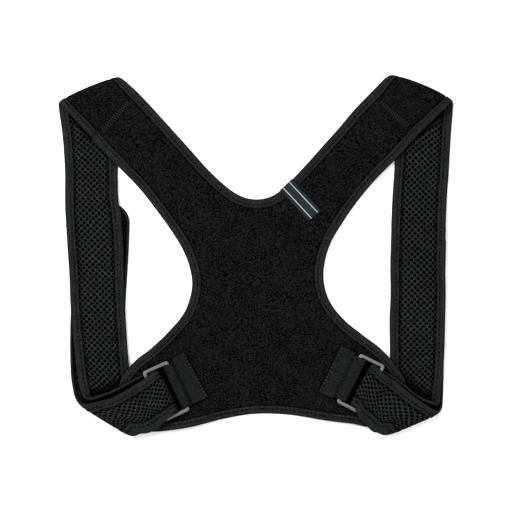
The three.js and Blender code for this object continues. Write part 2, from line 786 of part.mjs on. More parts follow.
// The webbing runs out under the ring's inner bar, rolls over it and lies back on itself.
// Its middle line is drawn across the ring, with heights from the wing that it is sewn to.
function webbingLine(side) {
  const { arm, tip, inner } = ringLevels(side);
  const half = webbingThickness / 2;
  const far = tip - side.ring.tab * ringWidth;
  const floor = (across) => wingHeight(side, across) + panelThickness / 2 + clearance + half;
  const over = inner + (ringThickness + ringPlay) / 2 + clearance + half;
  const stitch = -arm - ringBar / 2 - tabStitch;
  const low = [];
  const steps = 5;
  for (let i = 0; i <= steps; i++) {
    const across = lerp(far, -arm, i / steps);
    low.push([across, floor(across)]);
  }
  const under = floor(tip);
  const radius = (over - under) / 2;
  const centre = tip - half - radius;
  const roll = [];
  for (let k = 0; k <= 6; k++) {
    const angle = -Math.PI / 2 + (Math.PI * k) / 6;
    roll.push([centre + radius * Math.cos(angle), under + radius + radius * Math.sin(angle)]);
  }
  const high = [[-arm - ringBar / 2 - 0.6, over]];
  const top = (across) => floor(across) + webbingThickness + clearance;
  for (let i = 0; i <= 3; i++) {
    const across = lerp(stitch, far, i / 3);
    high.push([across, top(across)]);
  }
  return [...low, ...roll, ...high];
}

function webbingTab(side) {
  const line = webbingLine(side);
  const half = webbingThickness / 2;
  const offset = (way) =>
    line.map(([x, y], i) => {
      const before = line[Math.max(i - 1, 0)];
      const after = line[Math.min(i + 1, line.length - 1)];
      const length = Math.hypot(after[0] - before[0], after[1] - before[1]);
      const normal = [-(after[1] - before[1]) / length, (after[0] - before[0]) / length];
      return new THREE.Vector2(x + normal[0] * half * way, y + normal[1] * half * way);
    });
  const outline = [...offset(1), ...offset(-1).reverse()];
  const rings = [-1, 1].map((way) =>
    outline.map((p) => ringPoint(side, p.x, (way * webbingWidth) / 2).setZ(p.y))
  );
  return loft(rings, outline);
}

// The label covers the neck tape: a strip on top with a lip over the edge
function buildLabel(neck) {
  const curve = new THREE.CatmullRomCurve3(neck, false, "centripetal");
  const tangent = curve.getTangentAt(labelShare);
  const inward = tangent.clone().cross(upward);
  const low = panelThickness + clearance;
  const lip = panelThickness / 3;
  const face = -3 * clearance;
  const start = face - labelThickness;
  const high = low + labelThickness;
  const third = labelLength / 3;
  const profile = [
    [start, lip], [face, lip], [face, low], [third, low], [2 * third, low],
    [labelLength, low], [labelLength, high], [2 * third, high], [third, high], [start, high],
  ].map(([x, y]) => new THREE.Vector2(x, y));
  const reach = labelWidth / 2 / curve.getLength();
  const rings = [-1, -0.5, 0, 0.5, 1].map((way) => {
    const base = curve.getPointAt(labelShare + way * reach);
    return profile.map((p) => {
      const point = base.clone().addScaledVector(inward, p.x).setZ(0);
      return point.setZ(p.y + panelHeight(sides[1], point) - panelThickness / 2);
    });
  });
  addPiece("label", loft(rings, profile), colours.label, 0.7);
}

// Assembly

const paths = sides.map((side) => strapPath(side));
const neckMarks = buildPanel(paths);
sides.forEach((side, k) => {
  addPiece(`strap_${side.name}`, strapCore(paths[k]), colours.pad, 0.95);
  addPiece(`strap_mesh_${side.name}`, strapMesh(paths[k]), colours.mesh, 0.9);
  addPiece(`strap_binding_${side.name}`, strapTape(paths[k]), colours.tape, 0.9);
  addPiece(`hook_pad_${side.name}`, hookPad(paths[k]), colours.hook, 0.9);
  addPiece(`ring_${side.name}`, ringGeometry(side), colours.ring, 0.45, 0.6);
  addPiece(`webbing_tab_${side.name}`, webbingTab(side), colours.webbing, 0.9);
});
buildLabel(neckMarks);

// The origin is under the middle of the whole thing, on the surface that it lies on
const bounds = new THREE.Box3().setFromObject(group);
const middle = bounds.getCenter(new THREE.Vector3());
group.position.set(-middle.x, -middle.y, -bounds.min.z);

export default group;
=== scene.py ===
import math
import bmesh
import bpy
import numpy as np
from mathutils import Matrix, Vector


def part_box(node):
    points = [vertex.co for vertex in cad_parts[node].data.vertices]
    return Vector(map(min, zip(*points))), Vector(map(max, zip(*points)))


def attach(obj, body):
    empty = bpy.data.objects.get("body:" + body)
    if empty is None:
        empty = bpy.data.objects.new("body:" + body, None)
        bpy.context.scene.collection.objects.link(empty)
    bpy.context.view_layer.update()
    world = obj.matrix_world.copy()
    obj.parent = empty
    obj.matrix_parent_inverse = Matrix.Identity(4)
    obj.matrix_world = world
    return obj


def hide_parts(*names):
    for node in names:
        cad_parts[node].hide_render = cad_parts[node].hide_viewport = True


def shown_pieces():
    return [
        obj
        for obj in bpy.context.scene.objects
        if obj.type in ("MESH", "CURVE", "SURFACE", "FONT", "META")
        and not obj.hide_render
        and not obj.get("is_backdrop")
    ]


# Posture corrector seen from above as it lies on a table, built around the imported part.
# Sizes are in millimetres here, and makePiece turns them into metres in the part's frame.

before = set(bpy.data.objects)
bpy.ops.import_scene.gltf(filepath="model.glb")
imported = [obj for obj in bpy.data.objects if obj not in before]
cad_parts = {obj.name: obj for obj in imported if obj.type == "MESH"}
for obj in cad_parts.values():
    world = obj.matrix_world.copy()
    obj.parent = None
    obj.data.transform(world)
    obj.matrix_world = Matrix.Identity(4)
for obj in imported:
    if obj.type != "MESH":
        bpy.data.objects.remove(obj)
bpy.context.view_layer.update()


print("frame loaded:", len(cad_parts), "nodes")

body = {"halfSpan": 196.7, "length": 359, "gap": 0.3}


def smoothstep(x, low, high):
    t = np.clip((x - low) / (high - low), 0, 1)
    return t * t * (3 - 2 * t)


def mix(a, b, share):
    return a + (b - a) * share


def unit(v):
    return v / np.maximum(np.linalg.norm(v, axis=-1, keepdims=True), 1e-9)


def rows(columns, *values):
    # tables whose rows may leave out the noughts at their end
    names = columns.split()
    return [dict(zip(names, [*row, *[0] * (len(names) - len(row))])) for row in values]


def curveThrough(points):
    # centripetal curve through all the points, asked for by a share from 0 to 1
    points = np.asarray(points, float)
    padded = np.vstack([2 * points[0] - points[1], points, 2 * points[-1] - points[-2]])

    def at(share):
        p = np.clip(np.atleast_1d(share), 0, 1) * (len(points) - 1)
        i = np.minimum(p.astype(int), len(points) - 2)
        w = (p - i)[:, None]
        p0, p1, p2, p3 = (padded[i + k] for k in range(4))
        d0, d1, d2 = (
            np.maximum(((v - u) ** 2).sum(1) ** 0.25, 1e-6)[:, None]
            for u, v in ((p0, p1), (p1, p2), (p2, p3))
        )
        m1 = ((p1 - p0) / d0 - (p2 - p0) / (d0 + d1) + (p2 - p1) / d1) * d1
        m2 = ((p2 - p1) / d1 - (p3 - p1) / (d1 + d2) + (p3 - p2) / d2) * d1
        cubic = 2 * p1 - 2 * p2 + m1 + m2
        return p1 + m1 * w + (3 * p2 - 3 * p1 - 2 * m1 - m2) * w**2 + cubic * w**3

    return at


def lengthsAlong(points):
    steps = np.linalg.norm(np.diff(points, axis=0), axis=1)
    return np.concatenate([[0], np.cumsum(steps)])


def resample(points, places, *others):
    # values of a polyline, and of what goes with it, at given lengths along it
    along = lengthsAlong(points)
    return [
        np.stack([np.interp(places, along, values[:, k]) for k in range(values.shape[1])], 1)
        for values in (points, *others)
    ]


# A placed section of the strap: its middle as shares of halfSpan and length, the lean of its line
# in degrees, its width as a share, how far its middle bows, and the layers that lie under it
placed = "out up lean wide bow straps pads wings"
# A section near the ring: out from the ring and down along it, its turn, and 1 where the ring
# holds it as narrow as its opening
threaded = "reach slip turn grip"
# A rib of the panel: its ends at the arm hole and at the outer edge
ribColumns = "holeOut holeUp edgeOut edgeUp"

sides = {
    "left": {
        "sign": -1,
        "ring": {"out": 0.456, "up": -0.377, "lean": 65.4, "bend": -0.1, "full": 0.15, "tab": 0.96,
                 "tabSlip": 2.4, "tabTurn": 0.073, "tabFlare": 0.09, "lift": 0.0047},
        "arm": rows(
            placed,
            (0.7184, 0.3926, -44.6, 1.196), (0.8251, 0.4528, -23.9, 1.228, 0.03),
        ),
        "front": rows(
            placed,
            (0.8531, 0.442, -21.6, 1.171, -0.03), (0.844, 0.354, -11, 1.04),
            (0.837, 0.244, -2, 0.98), (0.834, 0.157, 0, 0.99, 0, 1),
            (0.828, 0.127, 0, 1.02, 0, 1, 1), (0.816, 0.029, 0, 1.03, 0, 1, 1),
            (0.81, -0.043, 0, 1.01, 0, 1), (0.802, -0.149, 0, 1.01, 0, 1),
            (0.785, -0.266, 0, 0.98, 0, 1), (0.769, -0.352, 11, 1, 0, 1),
            (0.757, -0.421, 33, 1.17, 0, 1),
        ),
        "back": rows(
            placed,
            (0.7041, -0.4351, 31.8, 1.124, 0, 2, 0, 1), (0.638, -0.4192, 42, 0.945, 0, 2, 0, 1),
        ),
        "enter": rows(threaded, (0.64, -0.03, -1, 0.87)),
        "leave": rows(threaded, (0.6, 0.15, 0, 0.8)),
        "doubled": rows(
            placed,
            (0.5664, -0.4187, 51.2, 0.915, 0, 3, 0, 1), (0.6375, -0.439, 42.5, 0.954, 0, 3, 0, 1),
            (0.713, -0.4483, 32.3, 1.063, 0, 3, 0, 1),
        ),
        "under": rows(
            placed,
            (0.7832, -0.4255, 30.8, 1.2265), (0.803, -0.358, 15, 1.03), (0.808, -0.249, 2, 1),
            (0.801, -0.121, 0, 1.01), (0.786, 0.018, 0, 1.01), (0.777, 0.148, 0, 1),
        ),
        "ribs": rows(
            ribColumns,
            (0.78, 0.294, 0.5435, 0.4224), (0.699, 0.249, 0.4573, 0.3705),
            (0.592, 0.188, 0.3455, 0.3025), (0.49, 0.116, 0.234, 0.2353),
            (0.424, 0.065, 0.133, 0.186), (0.373, 0.018, 0.068, 0.166), (0.338, -0.032, 0, 0.159),
            (0.327, -0.085, 0, -0.038), (0.363, -0.152, 0, -0.233), (0.439, -0.205, 0, -0.437),
            (0.541, -0.258, 0.16, -0.45), (0.612, -0.288, 0.338, -0.474),
            (0.678, -0.333, 0.516, -0.486), (0.697, -0.365, 0.56, -0.484),
        ),
    },
    "right": {
        "sign": 1,
        "ring": {"out": 0.527, "up": -0.358, "lean": 63.7, "bend": -0.025, "full": 0, "tab": 1.05,
                 "tabSlip": 0, "tabTurn": 0, "tabFlare": 0.1, "lift": 0.0053},
        "arm": rows(
            placed,
            (0.704, 0.399, -41.3, 1.167), (0.808, 0.4554, -22, 1.283, 0.05),
        ),
        "front": rows(
            placed,
            (0.842, 0.4494, -23, 1.228, -0.05), (0.845, 0.348, -13, 1.05), (0.836, 0.228, -1, 1.01),
            (0.83, 0.185, 0, 1.01), (0.8215, 0.099, 0, 1.01, 0, 1),
            (0.8205, 0.068, 0, 1.01, 0, 1, 1), (0.817, -0.032, 0, 1.02, 0, 1, 1),
            (0.819, -0.099, 0, 1.02, 0, 1), (0.815, -0.177, 0, 1.03, 0, 1),
            (0.814, -0.26, 0, 1.01, 0, 1), (0.81, -0.352, 7, 0.98, 0, 1),
            (0.806, -0.423, 26, 1.03, 0, 1),
        ),
        "back": rows(
            placed,
            (0.7792, -0.4383, 25.6, 1.017, 0, 2, 0, 1), (0.717, -0.4253, 35.2, 0.925, 0, 2, 0, 1),
            (0.646, -0.3982, 48.8, 0.933, 0, 2, 0, 1),
        ),
        "enter": [],
        "leave": rows(threaded, (0.55, 0.19, -8, 0.64)),
        "doubled": rows(
            placed,
            (0.627, -0.4047, 54.2, 0.963, 0, 3, 0, 1), (0.689, -0.4351, 41.7, 0.992, 0, 3, 0, 1),
            (0.7491, -0.4542, 23.9, 1.1, 0, 3, 0, 1),
        ),
        "under": rows(
            placed,
            (0.8134, -0.4373, 22.4, 1.038), (0.814, -0.358, 11, 1), (0.815, -0.249, 2, 1),
            (0.819, -0.121, 0, 1), (0.824, 0.018, 0, 1), (0.828, 0.091, 0, 1),
        ),
        "ribs": rows(
            ribColumns,
            (0.771, 0.309, 0.499, 0.4093), (0.694, 0.263, 0.4125, 0.3535),
            (0.603, 0.213, 0.3258, 0.3005), (0.501, 0.145, 0.23, 0.2423),
            (0.43, 0.088, 0.1245, 0.1845), (0.379, 0.04, 0.069, 0.166), (0.349, -0.01, 0, 0.159),
            (0.341, -0.065, 0, -0.038), (0.369, -0.121, 0, -0.233), (0.44, -0.173, 0, -0.437),
            (0.542, -0.219, 0.171, -0.44), (0.628, -0.255, 0.349, -0.455),
            (0.725, -0.316, 0.496, -0.465), (0.748, -0.338, 0.557, -0.472),
            (0.753, -0.355, 0.596, -0.469),
        ),
    },
}
neckRib = 7  # ribs counted from the seam of the arm
hemRib = 10

strap = {
    "width": 54, "thickness": 3.2, "tailCorner": 20, "shoulderRoll": 5.4, "legSteps": 10,
    "foldSteps": 16, "foldReach": 9, "crown": 0.5, "tapeGives": 0.25, "cuts": (1.2, 0.5, 1.5, 2.0),
    "cutReach": 8, "cutLength": 7, "skewLimit": 1.6, "skewSpan": 17,
    # lengths from the two ends of a leg over which its mesh face swells
    "frontOpens": (60, 90, 70, 40), "doubledOpens": (10, 25, 20, 0),
}
panel = {"thickness": 3, "wingRise": 54, "ribSteps": 6, "middleSteps": 18, "crown": 0.25, "inset": 0.9,
         "lie": (1.6, 2.1), "drop": 0.9, "wingStart": 0.2, "crownFrom": (10.5, 26), "wave": 0.12,
         "waveFrom": (12, 30), "waveLengths": (23, 31), "fill": 0.3}
tape = {"width": 9.2, "hemWidth": 8.2, "wall": 0.6, "step": 2, "holesIn": 5.8, "holesInLevel": 0.84,
        "threadIn": 7.7, "threadInLevel": 0.97, "atSeam": 9, "atShoulder": 6.6, "atTurn": 2.8,
        "pucker": 0.02, "spread": 0.35, "spreadFrom": (5, 25), "spreadTo": (18, 30)}
ring = {"length": 54.5, "width": 28, "bar": 3.4, "thickness": 2.6, "corner": 3, "play": 0.6,
        "flatness": 0.55}
webbing = {"thickness": 1.2, "width": 46.5, "slotGap": 3.9, "stitch": 3.6, "crossSteps": 40,
           "thread": {"pitch": 3.3, "long": 2.2, "radius": 0.5}}
hook = {"thickness": 1, "length": 32, "width": 30, "inset": 10, "corner": 4, "sheet": 0.6, "base": 0.55,
        "pitch": 1.9, "edge": 2.5, "radius": 0.16,
        # how far a hook leans and its height, from its foot to its tip
        "stem": ((0, 0), (0, 0.28), (0.14, 0.42), (0.36, 0.4))}

strapPitch = strap["thickness"] + body["gap"]
panelPitch = panel["thickness"] + body["gap"]
padPitch = hook["thickness"] + body["gap"]
barPitch = ring["thickness"] + body["gap"] + ring["play"]


def bodyPoint(side, out, up):
    return np.array([side["sign"] * out * body["halfSpan"], up * body["length"]])


def leanVector(side, degrees):
    angle = math.radians(degrees)
    return np.array([side["sign"] * math.cos(angle), math.sin(angle)])


def ringFrame(side):
    along = leanVector(side, side["ring"]["lean"])
    outward = side["sign"] * np.array([along[1], -along[0]])
    return bodyPoint(side, side["ring"]["out"], side["ring"]["up"]), along, outward


def ringPoint(side, across, along):
    middle, way, outward = ringFrame(side)
    return middle + np.multiply.outer(across, outward) + np.multiply.outer(along, way)


def layerHeight(row):
    layers = row["straps"] * strapPitch + row["pads"] * padPitch + row["wings"] * panelPitch
    return strap["thickness"] / 2 + layers


def wingHeight(side, across):
    full = side["ring"]["full"] * ring["width"]
    climb = np.clip((across - full) / panel["wingRise"] + 1, 0, 1)
    return mix(panel["thickness"] / 2, panel["thickness"] / 2 + 2 * strapPitch, climb)


rollTop = strap["thickness"] / 2 + 2 * strap["shoulderRoll"]
armOver = strap["thickness"] * 1.5 + body["gap"]


def armHeight(distance):
    # the arm comes down from the roll at the shoulder, crosses the strap and lies down
    low, high = panel["lie"]
    resting = smoothstep(distance, low * strap["width"], high * strap["width"])
    clear = mix(armOver, panel["thickness"] / 2, resting)
    dropped = smoothstep(distance, 0, panel["drop"] * strap["width"])
    return clear + (rollTop - armOver) * (1 - dropped)


def sideHeight(side, xy):
    middle, _, outward = ringFrame(side)
    fold = side["arm"][-1]
    inward = leanVector(side, fold["lean"] - 90)
    away = (xy - bodyPoint(side, fold["out"], fold["up"])) @ inward
    lower = smoothstep(-xy[:, 1], 0, panel["wingStart"] * body["length"])
    lift = (wingHeight(side, (xy - middle) @ outward) - panel["thickness"] / 2) * lower
    return armHeight(np.maximum(away, 0)) + lift


def panelHeight(xy):
    xy = np.atleast_2d(xy)
    heights = [sideHeight(sides[name], xy) for name in ("left", "right")]
    return np.where(xy[:, 0] < 0, heights[0], heights[1])


# The drawing's origin is found from the left ring, whose box is even about its middle
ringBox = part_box("ring_left")
ringMiddle = ringFrame(sides["left"])[0]
shift = np.array([
    500 * (ringBox[0].x + ringBox[1].x) - ringMiddle[0],
    500 * (ringBox[0].y + ringBox[1].y) - ringMiddle[1],
    0,
])
for side in sides.values():
    side["ring"]["up"] += side["ring"]["lift"]  # measured again against the photograph
print("drawing moved by", [round(float(x), 3) for x in shift], "mm")


def grid(n, m, start=0):
    index = np.arange(n * m).reshape(n, m) + start
    corners = index[:-1, :-1], index[1:, :-1], index[1:, 1:], index[:-1, 1:]
    return np.stack(corners, -1).reshape(-1, 4)


def lofted(rings):
    # closed body through equal rings of points
    n, m = rings.shape[:2]
    index = np.arange(n * m).reshape(n, m)
    beside = np.roll(index, -1, axis=1)
    quads = np.stack([index[:-1], beside[:-1], beside[1:], index[1:]], -1).reshape(-1, 4)
    return rings.reshape(-1, 3), quads.tolist() + [index[0][::-1].tolist(), index[-1].tolist()]


def turnedOut(points, faces):
    # the same faces, all turned round if the body is inside out
    volume = 0
    for size in {len(face) for face in faces}:
        same = np.array([face for face in faces if len(face) == size])
        for k in range(1, size - 1):
            a, b, c = points[same[:, 0]], points[same[:, k]], points[same[:, k + 1]]
            volume += (a * np.cross(b, c)).sum()
    return faces if volume > 0 else [list(face)[::-1] for face in faces]


def flatPlaces(along, across):
    return np.stack(np.broadcast_arrays(along, across), -1).reshape(-1, 2)


def welded(piece, within, turned=False):
    # neighbouring parts of a piece share their points
    work = bmesh.new()
    work.from_mesh(piece.data)
    bmesh.ops.remove_doubles(work, verts=work.verts, dist=within)
    if turned:
        bmesh.ops.recalc_face_normals(work, faces=work.faces)
    work.to_mesh(piece.data)
    work.free()


def newObject(name, data):
    thing = bpy.data.objects.new(name, data)
    bpy.context.scene.collection.objects.link(thing)
    return thing


def makePiece(name, solid, finish, slotName, flat=None, stands=()):
    # a piece of the brace from its points and faces
    mesh = bpy.data.meshes.new(name)
    points, faces = solid
    points = np.maximum(points, (-1e9, -1e9, 0))  # nothing goes under the table
    mesh.from_pydata(((points + shift) / 1000).tolist(), [], turnedOut(points, faces))
    mesh.polygons.foreach_set("use_smooth", np.ones(len(mesh.polygons), bool))
    if flat is not None:
        # flat places in millimetres, so that a weave follows the cloth
        corners = np.empty(len(mesh.loops), int)
        mesh.loops.foreach_get("vertex_index", corners)
        mesh.uv_layers.new(name="flat").data.foreach_set("uv", flat[corners].ravel())
    mesh.materials.append(finishes[finish])
    piece = newObject(name, mesh)
    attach(piece, "root")
    if stands:
        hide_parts(*stands)
    return piece


def finishSome(piece, finish, chosen):
    # the chosen faces have a finish of their own
    piece.data.materials.append(finishes[finish])
    piece.data.polygons.foreach_set("material_index", chosen.astype(int))


def joined(parts):
    points, faces, start = [], [], 0
    for somePoints, someFaces in parts:
        points.append(somePoints)
        faces += [[i + start for i in face] for face in someFaces]
        start += len(somePoints)
    return np.vstack(points), faces


def newMaterial(name, **shader):
    material = bpy.data.materials.new(name)
    material.use_nodes = True
    principled = material.node_tree.nodes["Principled BSDF"]
    for socket, value in shader.items():
        principled.inputs[socket.replace("_", " ")].default_value = value
    return material


def adder(material):
    # ways to add nodes: any kind, a sum, a range turned into another, a mix of two colours,
    # and the wires into the surface itself
    tree = material.node_tree

    def wire(node, wires):
        for key, value in wires.items():
            if isinstance(value, bpy.types.Node):
                value = value.outputs[0]
            if isinstance(value, bpy.types.NodeSocket):
                tree.links.new(value, node.inputs[key])
            else:
                node.inputs[key].default_value = value

    def add(kind, wires=None, **settings):
        node = tree.nodes.new("ShaderNode" + kind)
        for key, value in settings.items():
            setattr(node, key, value)
        wire(node, wires or {})
        return node

    def maths(operation, *values):
        return add("Math", dict(enumerate(values)), operation=operation)

    def ranged(value, low, high, first=0.0, last=1.0):
        wires = {"Value": value, "From Min": low, "From Max": high, "To Min": first, "To Max": last}
        return add("MapRange", wires)

    def mixed(share, a, b, **settings):
        return add("Mix", {"Factor": share, "A": a, "B": b}, data_type="RGBA", **settings).outputs["Result"]

    def finish(**wires):
        named = {key.replace("_", " "): value for key, value in wires.items()}
        wire(tree.nodes["Principled BSDF"], named)
        return material

    return add, maths, ranged, mixed, finish


def band(maths, ranged, across, line):
    # painted shade round one place across the cloth, which fades out at half the band's width
    place, half, darkness = line
    off = maths("ABSOLUTE", maths("SUBTRACT", across, place))
    return ranged(off, half * 0.4, half, darkness)


# the ranges for painted shade in crevices and painted shadow under crossing edges are kept here too
cloth = {"edge": 0.22, "broadScale": 45.0, "broadShare": 0.5, "creviceShade": (0.42, 0.95, 0.03),
         "looseScale": 420.0, "loose": (0.4, 0.6), "underDark": 0.12, "bumpStrength": 0.8}


def fabric(name, dark, light, grain, contrast=1.0, weave=None, weaveShare=0.3, roughness=0.9,
           depth=0.15, tint=(1, 1, 1), lines=(), specular=0.02, crevice=0.007, shaded=False):
    # cloth whose colour and height vary with a fine grain, and with a weave in flat places.
    # lines are (place, half width, darkness) across the cloth, painted shade along stitch furrows and in
    # the trench where tape and mesh meet.
    material = newMaterial(name, Roughness=roughness, Specular_IOR_Level=specular)
    add, maths, ranged, mixed, finish = adder(material)
    place = add("TexCoord").outputs["Object"]
    fine = add("TexNoise", {"Vector": place, "Scale": 1000 / grain, "Detail": 2.5})
    broad = add("TexNoise", {"Vector": place, "Scale": cloth["broadScale"], "Detail": 2.0})
    edge = cloth["edge"] / contrast
    height = ranged(fine.outputs["Fac"], 0.5 - edge, 0.5 + edge)
    patchy = maths("MULTIPLY_ADD", broad.outputs["Fac"], cloth["broadShare"], -cloth["broadShare"] / 2)
    share = maths("ADD", height, patchy)
    parts = add("SeparateXYZ", {0: add("UVMap", uv_map="flat")})
    if weave:
        waves = [maths("SINE", maths("MULTIPLY", parts.outputs[axis], 2 * math.pi / pitch))
                 for axis, pitch in zip("XY", weave)]
        woven = maths("MULTIPLY_ADD", maths("ADD", *waves), weaveShare / 2, 0)
        height, share = maths("ADD", woven, height), maths("ADD", share, woven)
    low, high = ([level * part for part in tint] + [1] for level in (dark, light))
    colour = mixed(add("Clamp", {"Value": share}), low, high)
    # painted shade in the crevices: the colour darkens where ambient occlusion is low
    creviceShade = add("AmbientOcclusion", {"Distance": crevice}, samples=8)
    shade = ranged(creviceShade.outputs["AO"], *cloth["creviceShade"])
    if lines:
        patches = add("TexNoise", {"Vector": place, "Scale": cloth["looseScale"], "Detail": 1.0})
        loose = ranged(patches.outputs["Fac"], *cloth["loose"])
        far = maths("ABSOLUTE", parts.outputs["Y"])
        for line in lines:
            shade = maths("MULTIPLY", maths("MAXIMUM", band(maths, ranged, far, line), loose), shade)
    # painted shadow where the edges of other layers lie over the front leg, read from the under attribute
    if shaded:
        under = add("Attribute", attribute_name="under")
        dim = ranged(under.outputs["Fac"], 0.0, 1.0, 1.0, cloth["underDark"])
        shade = maths("MULTIPLY", dim, shade)
    colour = mixed(1.0, colour, shade, blend_type="MULTIPLY")
    bump = add("Bump", {"Height": height, "Distance": depth / 1000, "Strength": cloth["bumpStrength"]})
    return finish(Base_Color=colour, Normal=bump)


coolBlack = (0.96, 1.03, 1.0)
# painted shade along the tape's needle line and at its inner edge, and in the trench beside the tape on the
# mesh and loop faces
furrows = ((tape["holesIn"], 0.9, 0.5), (tape["width"] + 0.1, 0.9, 0.1))
trench = ((strap["width"] / 2 - tape["width"], 1.4, 0.1),)
threads = {"thread": (0.01, 0.022), "hemThread": (0.014, 0.034), "paleThread": (0.018, 0.038)}
finishes = {
    "loop": fabric("loopFace", 0.0, 0.0083, 1.2, contrast=2.1, depth=0.5, specular=0.01,
                   tint=(0.99, 1.0, 1.0), lines=trench),
    "tape": fabric("edgeTape", 0.0042, 0.0155, 1.2, contrast=1.2, weave=(0.9, 1.7), depth=0.15,
                   tint=coolBlack, lines=furrows),
    "mesh": fabric("airMesh", 0.0012, 0.026, 0.9, contrast=1.5, weave=(1.5, 1.5), weaveShare=0.5,
                   roughness=0.75, depth=0.2, tint=coolBlack, lines=trench, shaded=True),
    # near-black foam backing, also used as painted shadow in the gap beside the doubled strap
    "foamAndGapShade": fabric("foamBackingAndGapShade", 0.0001, 0.0003, 0.9, depth=0.3, specular=0.0),
    # near-black discs that paint the shade of the needle holes
    "needleShade": fabric("needleHoleShade", 0.0012, 0.0035, 0.9, depth=0.1, specular=0.0),
    "webbing": fabric("webbing", 0.0022, 0.0125, 1.2, contrast=1.2, weave=(1.1, 1.6), weaveShare=0.5,
                      depth=0.25, tint=coolBlack),
    "hook": fabric("hookPlastic", 0.004, 0.009, 0.8, roughness=0.6, depth=0.1),
}


def threadFinish(name, levels, tint=coolBlack):
    return fabric(name, *levels, 0.5, roughness=0.7, depth=0.1, tint=tint, crevice=0.001)


for name, levels in threads.items():
    finishes[name] = threadFinish(name, levels)
finishes["seam"] = threadFinish("seamThread", (0.014, 0.028), (0.96, 0.97, 1.08))


def ringFinish():
    material = newMaterial("satinGrey", Metallic=0.2, Roughness=0.45)
    add, _, ranged, mixed, finish = adder(material)
    place = add("TexCoord").outputs["Object"]
    scuffs = add("TexNoise", {"Vector": place, "Scale": 420.0, "Detail": 4.0}).outputs["Fac"]
    colour = mixed(scuffs, (0.05, 0.05, 0.049, 1), (0.1, 0.1, 0.098, 1))
    bump = add("Bump", {"Height": scuffs, "Distance": 0.00004})
    return finish(Base_Color=colour, Roughness=ranged(scuffs, 0.0, 1.0, 0.32, 0.5), Normal=bump)


finishes["ring"] = ringFinish()
print("finishes made")


entryHeight = strap["thickness"] / 2 + 2 * strapPitch + panelPitch
exitHeight = entryHeight + strap["thickness"] + barPitch + body["gap"]
bendRoll = (exitHeight - entryHeight) / 2


def placedSection(side, row):
    half = row["wide"] * strap["width"] / 2
    spot = bodyPoint(side, row["out"], row["up"])
    return spot, leanVector(side, row["lean"]), half, row["bow"] * strap["width"], layerHeight(row)


def threadedSection(side, row, height):
    grip = ring["length"] - 2 * ring["bar"] - 2 * ring["play"]
    spot = ringPoint(side, row["reach"] * ring["width"], -row["slip"] * ring["width"])
    along = leanVector(side, side["ring"]["lean"] + row["turn"])
    return spot, along, mix(strap["width"], grip, row["grip"]) / 2, 0, height


def legLine(sections, meshUp, lying=False):
    # one leg of the strap as edge points, the way its mesh faces and how its middle bulges
    spots, ways, halves, bows, heights = (np.array(part, float) for part in zip(*sections))
    last = len(sections) - 1
    share = np.linspace(0, 1, last * strap["legSteps"] + 1)
    place = np.minimum((share * last).astype(int), last - 1)
    part = share * last - place
    height = mix(heights[place], heights[place + 1], smoothstep(part, 0, 1))
    edges = []
    for sign in (1, -1):
        plan = curveThrough(spots + sign * halves[:, None] * ways)(share)
        edges.append(np.column_stack([plan, panelHeight(plan) if lying else height]))
    a, b = edges
    travel = np.gradient((a + b) / 2, axis=0)
    travel[[0, -1], 2] = 0
    across = a - b
    normal = unit(np.cross(across, travel))
    normal[(normal[:, 2] > 0) != meshUp] *= -1
    way = unit(np.cross(across, (0, 0, 1)))
    way[(way * travel).sum(1) < 0] *= -1
    bow = mix(bows[place], bows[place + 1], part)
    return {"a": a, "b": b, "normal": normal, "bulge": way * bow[:, None], "travel": unit(travel)}


def foldLine(one, two):
    # the half turn from the end of one leg to the start of the next
    begin = {key: values[-1] for key, values in one.items()}
    end = {key: values[0] for key, values in two.items()}
    across = unit(begin["a"] - begin["b"]) + unit(end["a"] - end["b"])
    outward = unit(np.cross(across, (0, 0, 1)))
    if outward @ begin["travel"] < 0:
        outward = -outward
    rise = (end["a"][2] + end["b"][2] - begin["a"][2] - begin["b"][2]) / 4
    inside = -1 if begin["normal"][2] * rise > 0 else 1
    share = np.linspace(0, 1, strap["foldSteps"] + 1)[1:-1, None]
    angle = math.pi * share
    edges = []
    for key in "ab":
        points = mix(begin[key], end[key], share) + abs(rise) * np.sin(angle) * outward
        points[:, 2] = mix(begin[key][2], end[key][2], (1 - np.cos(angle[:, 0])) / 2)
        edges.append(points)
    up = np.array([0, 0, np.sign(begin["normal"][2])])
    normal = unit(np.cos(angle) * up + inside * np.sin(angle) * outward)
    bulge = mix(begin["bulge"], end["bulge"], share)
    return {"a": edges[0], "b": edges[1], "normal": normal, "bulge": bulge}, outward


def skewGain(path, key):
    # how much wider a tape is along a skewed section than square to its edge
    across, ahead = unit(path["a"] - path["b"]), unit(np.gradient(path[key], path["s"], axis=0))
    sine = np.linalg.norm(np.cross(across, ahead), axis=1)
    even = np.arange(0, path["length"], 1.0)
    gain = np.interp(even, path["s"], np.clip(1 / np.maximum(sine, 0.1), 1, strap["skewLimit"]))
    weights = np.hanning(strap["skewSpan"])
    ends = strap["skewSpan"] // 2
    gain = np.convolve(np.pad(gain, ends, mode="edge"), weights / weights.sum(), mode="valid")
    return np.interp(path["s"], even, gain)


